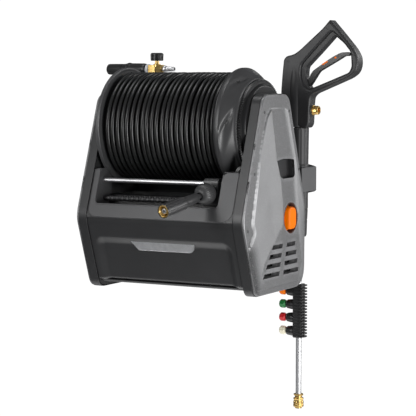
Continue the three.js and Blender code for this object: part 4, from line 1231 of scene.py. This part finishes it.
def gun():
    """Two shells that meet at the trigger's plane, with screw heads on both sides, and the brass inlet."""
    screw = soft_profile([(-1, 0), (-1, 3.2), (0.4, 3.1, 0.3), (0.5, 1.6, 0.2), (-0.6, 1.4), (-0.6, 0)])
    spots = ((196, 230), (176, 380), (285, 462), (356, 395), (300, 326), (228, 300))
    front_seam, rear_seam = limits("gun_front_shell")[1].y, limits("gun_rear_shell")[0].y
    for end, seam, out in (("front", front_seam, -1), ("rear", rear_seam, 1)):
        meshes = [kept_side(mesh, seam, out < 0) for mesh in gun_solids()]
        for x, z in spots:
            meshes.append(turned(screw, (0, out, 0), (x, GUN_Y + GUN_HALF * out, z), 18))
        piece("gun_shell_" + end, meshes, "gun", "black_plastic", ["gun_%s_shell" % end],
              material="gun_plastic", sharp=40)
    low, high = limits("gun_inlet")
    threads = []
    for k in range(5):
        threads += [(241.5 + 2.1 * k, 10.6, 0.3), (242.5 + 2.1 * k, 11.6, 0.3)]
    inlet = soft_profile([
        (low.x, 0), (low.x, 9), (236.5, 9), (236.5, 13, 0.6), (240.5, 13, 0.6), (241, 10.8, 0.3), *threads,
        (252.6, 10.9, 0.3), (high.x, 10.4, 0.4), (high.x, 7, 0.4), (243, 6.6), (243, 0),
    ])
    piece("inlet_thread", turned(inlet, X, (0, GUN_Y, INLET_Z)), "gun", "brass", ["gun_inlet"])


def sheath():
    """The lance's sleeve with its six creases and two collars, and the steel pipe inside it."""
    low, high = limits("lance_sheath")

    def creased(angle, along, radius):
        if radius < 17 or along > 209:
            return radius
        wave = abs(((angle * 6 / (2 * math.pi)) % 1) - 0.5) * 2
        return radius * (1.0 - 0.035 * (1 - wave) ** 3)

    body = ring_profile([
        (low.z, 8.2), (low.z, 17, 1), (-60, 19.3, 1.5), (-24, 20.3), (-23.4, 19.4), (-22, 19.4),
        (-21.6, 20.5), (3.6, 21.6), (4.2, 20.6), (5.6, 20.6), (6, 22, 0.4), (112.4, 22, 0.5),
        (112.4, 24.4, 0.6),
        (117, 24.4, 0.6), (119, 22.6, 0.8), (206, 23.8, 1), (211.6, 23.8, 1), (211.6, 14), (high.z, 14),
        (high.z, 8.2),
    ])
    piece("sheath_body", turned(body, Z, LANCE, 144, creased), "gun", "black_plastic", ["lance_sheath"],
          material="gun_plastic", sharp=35)
    pipe = soft_profile([(PIPE_LOW.z, 0), (PIPE_LOW.z, 7.4, 0.4), (PIPE_HIGH.z, 7.4, 0.4), (PIPE_HIGH.z, 0)])
    piece("steel_pipe", turned(pipe, Z, LANCE, 48), "gun", "steel", ["lance_pipe"])


def coupler():
    """The quick coupler: a core with spanner flats, and a sleeve knurled on its lower half."""
    low, high = limits("coupler_body")
    core = ring_profile([
        (low.z, 4), (low.z, 8.8, 0.5), (-478, 9.4), (-478, 12.9, 0.6), (-476.4, 13), (high.z, 13, 0.8),
        (high.z, 4),
    ])
    spanner = flats(6, 0.93, 12, turn=math.pi / 6)
    piece("coupler_core", turned(core, Z, LANCE, 96, spanner), "gun", "brass", ["coupler_body"])
    low, high = limits("coupler_sleeve")

    def knurled(angle, along, radius):
        if radius <= 13.3 or along >= -495:
            return radius
        return radius - 0.35 * (0.5 + 0.5 * math.cos(angle * 40))

    sleeve = ring_profile([
        (low.z, 10), (low.z, 12.6, 0.8), (-506, 13.5, 0.8), (-501, 13.5, 0.3), (-500.4, 12.7, 0.2),
        (-499, 12.7, 0.2), (-498.4, 13.5, 0.3), (-494.4, 13.5, 0.6), (-492.6, 12.2, 0.6), (-488.6, 12.2, 0.6),
        (-487, 13.4, 0.6), (high.z, 13.4, 0.6), (high.z, 10),
    ])
    collar = turned(sleeve, Z, LANCE, 120, knurled)
    piece("coupler_collar", collar, "coupler_sleeve", "brass", ["coupler_sleeve"])


def nozzle(number, slot):
    """A quick-connect tip with eight flats and a narrow plug end."""
    node = "nozzle_%d" % number
    low, high = limits(node)
    profile = soft_profile([
        (low.x, 0), (low.x, 4, 0.3), (low.x + 0.8, 7.6, 0.8), (low.x + 4, 11, 0.8), (low.x + 15, 11, 0.8),
        (low.x + 17.5, 8.4, 0.5), (low.x + 19.6, 8, 0.4), (low.x + 19.6, 5.9), (high.x, 5.9, 0.5),
        (high.x, 0),
    ])
    mesh = turned(profile, X, (0, GUN_Y, middle(node).z), 96, flats(8, 0.95, 9))
    piece("tip_%d" % number, mesh, node, slot, [node], sharp=28)


def rack():
    """The finned block behind the lance, with a cup for each nozzle."""
    low, high = limits("nozzle_rack")
    back, half, fins = min(high.x, LANCE_X + 21), 12.4, 18
    meshes = [
        block(LANCE_X - 13, LANCE_X + 7, GUN_Y - 12, GUN_Y + 12, low.z, high.z, 3),
        block(LANCE_X + 5, LANCE_X + 12, GUN_Y - half, GUN_Y + half, low.z, high.z, 2),
    ]
    fin = rounded([
        (LANCE_X + 4, GUN_Y - 14.6, 2), (LANCE_X + 16, GUN_Y - 14.6, 4), (back, GUN_Y - 7, 4),
        (back, GUN_Y + 7, 4), (LANCE_X + 16, GUN_Y + 14.6, 4), (LANCE_X + 4, GUN_Y + 14.6, 2),
    ], 5)
    for k in range(fins):
        z = high.z - (high.z - low.z) / fins * (k + 0.5)
        meshes.append(slab([fin], "z", z - 1.5, z + 1.5, 0.8, 2))
        for y in (GUN_Y - half, GUN_Y + half):
            meshes.append(block(LANCE_X - 10, LANCE_X + 4, y - 1.4, y + 1.4, z - 1.5, z + 1.5, 0.6))
    cup = ring_profile([
        (LANCE_X - 34, 6.6), (LANCE_X - 34, 8.5, 0.5), (LANCE_X - 31, 11.5, 1.5), (LANCE_X - 20, 13, 2),
        (LANCE_X - 12, 13), (LANCE_X - 12, 6.6),
    ])
    for number, colour in enumerate(("orange", "green", "red", "cream"), start=1):
        meshes.append(turned(cup, X, (0, GUN_Y, middle("nozzle_%d" % number).z), 40))
        nozzle(number, colour + "_plastic")
    piece("rack_body", meshes, "gun", "black_plastic", ["nozzle_rack"])


def trigger():
    blade = slab([rounded(TRIGGER, 6)], "y", GUN_Y - 6.2, GUN_Y + 6.2, 1.6, 3)
    piece("trigger_blade", blade, "trigger", "black_plastic", ["trigger"], sharp=40)
    lock = rounded([(263, 373, 1), (266, 370, 1), (281, 378.5, 1.5), (278.5, 382.4, 1.5)], 3)
    flap = slab([lock], "y", GUN_Y - 6.5, GUN_Y + 3, 0.8, 2)
    piece("lock_flap", flap, "trigger_lock", "orange_plastic", ["trigger_lock"])
    dot = soft_profile([(-7, 0), (-7, 2.4, 0.5), (-6, 2.8), (-4, 2.8), (-4, 0)])
    piece("trigger_dot", turned(dot, Y, (301, GUN_Y, 389.5), 24), "trigger", "orange_plastic")


gun()
sheath()
coupler()
rack()
trigger()


# ---- wall bracket, gun holder, bolts ----------------------------------------
BOTTLE_X, FOAM_Y, _ = middle("foam_bottle")
FOAM_Z = 362


def bracket():
    """The sheet on the wall, its two arms with a web between them, and the ring for the foam bottle."""
    holes = [circle(x, 90, 4.6, 24) for x in (-165, 165)]
    slots = []
    for x0, x1 in ((-120, -60), (60, 120)):
        slots.append(rounded([(x0, -100, 8), (x1, -100, 8), (x1, -84, 8), (x0, -84, 8)]))
    plate = rounded([
        (-190, -130, 12), (190, -130, 12), (190, 40), (224, 48, 6), (224, 112, 6), (190, 120), (190, 130, 12),
        (-190, 130, 12), (-190, -16), (-262, -20, 10), (-262, -60, 10), (-190, -64),
    ])
    arm = rounded([(162.3, -104, 6), (249, -104, 4), (249, 40, 4), (162.3, 18, 6)])
    cup = ring_profile([
        (150, 42, 0.5), (150, 52, 1.5), (200, 52, 1), (200, 48.5, 1), (153, 48.5, 1), (153, 42, 0.5),
    ])
    meshes = [slab([plate, *holes, *slots], "y", 246, 250, 0.9)]
    meshes += [slab([arm, circle(205, -40, 12, 24)], "x", x, x + 4, 0.9) for x in (-150, 150)]
    meshes += [
        block(-150, 154, 158.5, 162.3, -70, -40, 0.9),
        turned(cup, Z, (BOTTLE_X, FOAM_Y, 0), 72),
        folded([(225, 153), (244, 145, 6), (244, -58)], 4.6, BOTTLE_X + 10, BOTTLE_X + 36, 0.9),
    ]
    piece("bracket_sheet", meshes, "washer", "bracket_black", ["wall_bracket"])


def holder():
    """The gun's holder: a cheek and a back of sheet, and two forks that the lance's collar sits on."""
    low, high = limits("gun_holder")
    cheek = rounded([(low.y, low.z, 2), (high.y, low.z, 2), (high.y, high.z, 2), (low.y, high.z, 2)], 3)
    near, far = GUN_Y - 22.9, GUN_Y + 22.9
    arc = [p for p in circle(LANCE_X, GUN_Y, 23, 60) if p.x > LANCE_X + 0.5]
    arc.sort(key=lambda p: -p.y)
    fork = [Vector(p) for p in (
        (low.x, low.y + 14), (high.x - 1, low.y + 14), (high.x - 1, high.y - 1), (low.x, high.y - 1),
        (low.x, far), *arc, (LANCE_X, near), (low.x, near),
    )]
    meshes = [
        slab([cheek], "x", high.x - 2.5, high.x, 0.7),
        block(low.x, high.x, high.y - 3, high.y, low.z, high.z, 0.8),
    ]
    meshes += [slab([fork], "z", z, z + 3, 0.6) for z in (low.z, high.z - 3)]
    piece("holder_channel", meshes, "washer", "bracket_black", ["gun_holder"], material="holder_coat")


def wall_bolt(number):
    node = "wall_bolt_%d" % number
    low, high = limits(node)
    x, _, z = middle(node)
    top = 244.6
    head = soft_profile([
        (low.y, 0), (low.y, 6.4, 0.8), (low.y + 1.2, 8, 0.4), (top, 8), (top, 8.0),
        (245.7, 8.0, 0.3), (245.7, 4), (high.y, 4), (high.y, 0),
    ])
    mesh = turned(head, Y, (x, 0, z), 72, flats(6, 0.866, 7, before=top))
    piece("hex_bolt_%d" % number, mesh, "washer", "steel", [node], sharp=28)


bracket()
holder()
wall_bolt(1)
wall_bolt(2)


# ---- foam lance and cable gland ---------------------------------------------
FOAM_AXIS = (0, FOAM_Y, FOAM_Z)
BOTTLE_TOP = (BOTTLE_X, FOAM_Y, FOAM_Z)
KNOB_SPOT = (middle("foam_knob").x, FOAM_Y, FOAM_Z)


def foam_nozzle():
    low, high = limits("foam_nozzle")
    head = ring_profile([
        (low.x, 5), (low.x, 11, 1), (low.x + 3, 14.3, 2), (low.x + 8, 14.5), (low.x + 30, 14.5),
        (low.x + 46, 14.5), (low.x + 47, 13.4), (low.x + 49, 13.4), (low.x + 50, 14.5), (high.x, 14.5, 0.6),
        (high.x, 5),
    ])
    mesh = turned(head, X, FOAM_AXIS, 120, grooves(20, 0.5, 0.55, 14, low.x + 44))
    piece("fan_head", mesh, "foam_nozzle", "black_plastic", ["foam_nozzle"])


def foam_mixer():
    """The mixing body, with a neck down to the bottle's ribbed cap."""
    low, high = limits("foam_mixer")
    body = ring_profile([
        (low.x, 4), (low.x, 15.5, 0.8), (low.x + 4, 15.6), (low.x + 7, 17.4, 1), (low.x + 12, 17.4, 1),
        (low.x + 14, 16, 1), (high.x - 8, 15.5, 2), (high.x - 2, 14.4, 1), (high.x, 12, 1), (high.x, 4),
    ])
    neck = soft_profile([(-52, 0), (-52, 10), (-14, 10, 3), (-10, 13, 2), (-6, 14), (-6, 0)])
    cap = soft_profile([
        (-66, 0), (-66, 25.6), (-65, 27, 0.4), (-50, 27), (-45.2, 27, 1), (-41, 22, 2), (-38, 14, 2),
        (-38, 0),
    ])
    meshes = [
        turned(body, X, FOAM_AXIS, 64), turned(neck, Z, BOTTLE_TOP, 40),
        turned(cap, Z, BOTTLE_TOP, 180, grooves(36, 0.9, 0.3, 26, -45)),
    ]
    piece("mixer_body", meshes, "foam_lance", "black_plastic", ["foam_mixer"])


def foam_valve():
    """The brass block with its nut and stem, the pale collar before it and the barbed plug after it."""
    low, high = limits("foam_valve_block")
    core = block(low.x + 9, low.x + 30, FOAM_Y - 12, FOAM_Y + 12, FOAM_Z - 11, FOAM_Z + 11, 1.6)
    nut = soft_profile([
        (low.x + 28, 0), (low.x + 28, 9), (low.x + 30, 12.4, 0.6), (low.x + 48, 12.4, 0.8),
        (low.x + 51, 10.6, 0.6), (low.x + 51, 0),
    ])
    stem = soft_profile([
        (6, 0), (6, 10, 0.6), (13, 10, 0.8), (14, 6, 0.5), (18, 5.4, 0.3), (21.5, 5.4), (21.5, 0),
    ])
    meshes = [core, turned(nut, X, FOAM_AXIS, 96, flats(6, 0.9, 9)), turned(stem, Z, KNOB_SPOT, 48)]
    piece("valve_block", meshes, "foam_lance", "brass", ["foam_valve_block"], sharp=28)
    collar = ring_profile([(low.x, 9), (low.x, 13, 0.8), (low.x + 8.6, 13, 0.8), (low.x + 8.6, 9)])
    pale = turned(collar, X, FOAM_AXIS)
    piece("pale_collar", pale, "foam_lance", "cream_plastic", material="white_plastic")
    plug = [
        (low.x + 51, 4), (low.x + 51, 8.6, 0.6), (low.x + 55, 9.4, 0.6), (low.x + 59, 8.8, 0.6),
        (low.x + 61, 6.6, 0.5),
    ]
    for k in range(3):
        x = low.x + 63 + k * 5
        plug += [(x, 6.4, 0.3), (x + 0.4, 7.4 - 0.3 * k, 0.3), (x + 4, 6.2 - 0.2 * k, 0.3)]
    plug += [(high.x, 5.9, 0.6), (high.x, 3, 0.4)]
    piece("barbed_plug", turned(ring_profile(plug), X, FOAM_AXIS, 48), "foam_lance", "steel")


def foam_knob():
    dial = soft_profile([
        (13, 0), (13, 3), (22, 3), (22, 14), (22.6, 16.8, 0.4), (38.5, 17.5), (41, 16.6, 0.8), (43, 14, 1.5),
        (43, 0),
    ])
    ribbed = grooves(24, 0.8, 0.2, 16.5)
    piece("dial_knob", turned(dial, Z, KNOB_SPOT, 192, ribbed), "foam_knob", "black_plastic", ["foam_knob"])


def foam_bottle():
    """The bottle, drawn in at its waist; its profile gets points close enough to follow that."""
    profile = soft_profile([
        (-208, 0), (-208, 38, 3), (-205, 44, 3), (-200, 46.5, 3), (-190, 47, 2), (-112, 47, 6), (-96, 43, 8),
        (-82, 30, 6), (-78, 22, 3), (-66.4, 22), (-66.4, 0),
    ])

    def waisted(_, along, radius):
        return radius - 1.6 * math.exp(-((along + 150) / 22) ** 2) if radius > 44 else radius

    dense = []
    for a, b in zip(profile, profile[1:]):
        parts = max(1, int(abs(b[0] - a[0]) / 4))
        dense += [(a[0] + (b[0] - a[0]) * k / parts, a[1] + (b[1] - a[1]) * k / parts) for k in range(parts)]
    mesh = turned([*dense, profile[-1]], Z, BOTTLE_TOP, 72, waisted)
    piece("bottle_body", mesh, "foam_lance", "black_plastic", ["foam_bottle"])


def cable_gland():
    low, high = limits("cable_gland")
    x, _, z = middle("cable_gland")
    nut_end = 168
    profile = ring_profile([
        (low.y, 4), (low.y, 7.5), (158.5, 7.5), (158.5, 13, 0.6), (nut_end, 13, 0.6), (nut_end, 10.4),
        (172, 10.4, 0.6), (180, 9.4, 1), (182, 7.6, 0.6), (high.y, 6.6, 0.6), (high.y, 4, 0.4),
    ])
    mesh = turned(profile, Y, (x, 0, z), 72, flats(6, 0.866, 12, before=nut_end))
    piece("gland_nut", mesh, "washer", "black_plastic", ["cable_gland"], sharp=28)


foam_nozzle()
foam_mixer()
foam_valve()
foam_knob()
foam_bottle()
cable_gland()
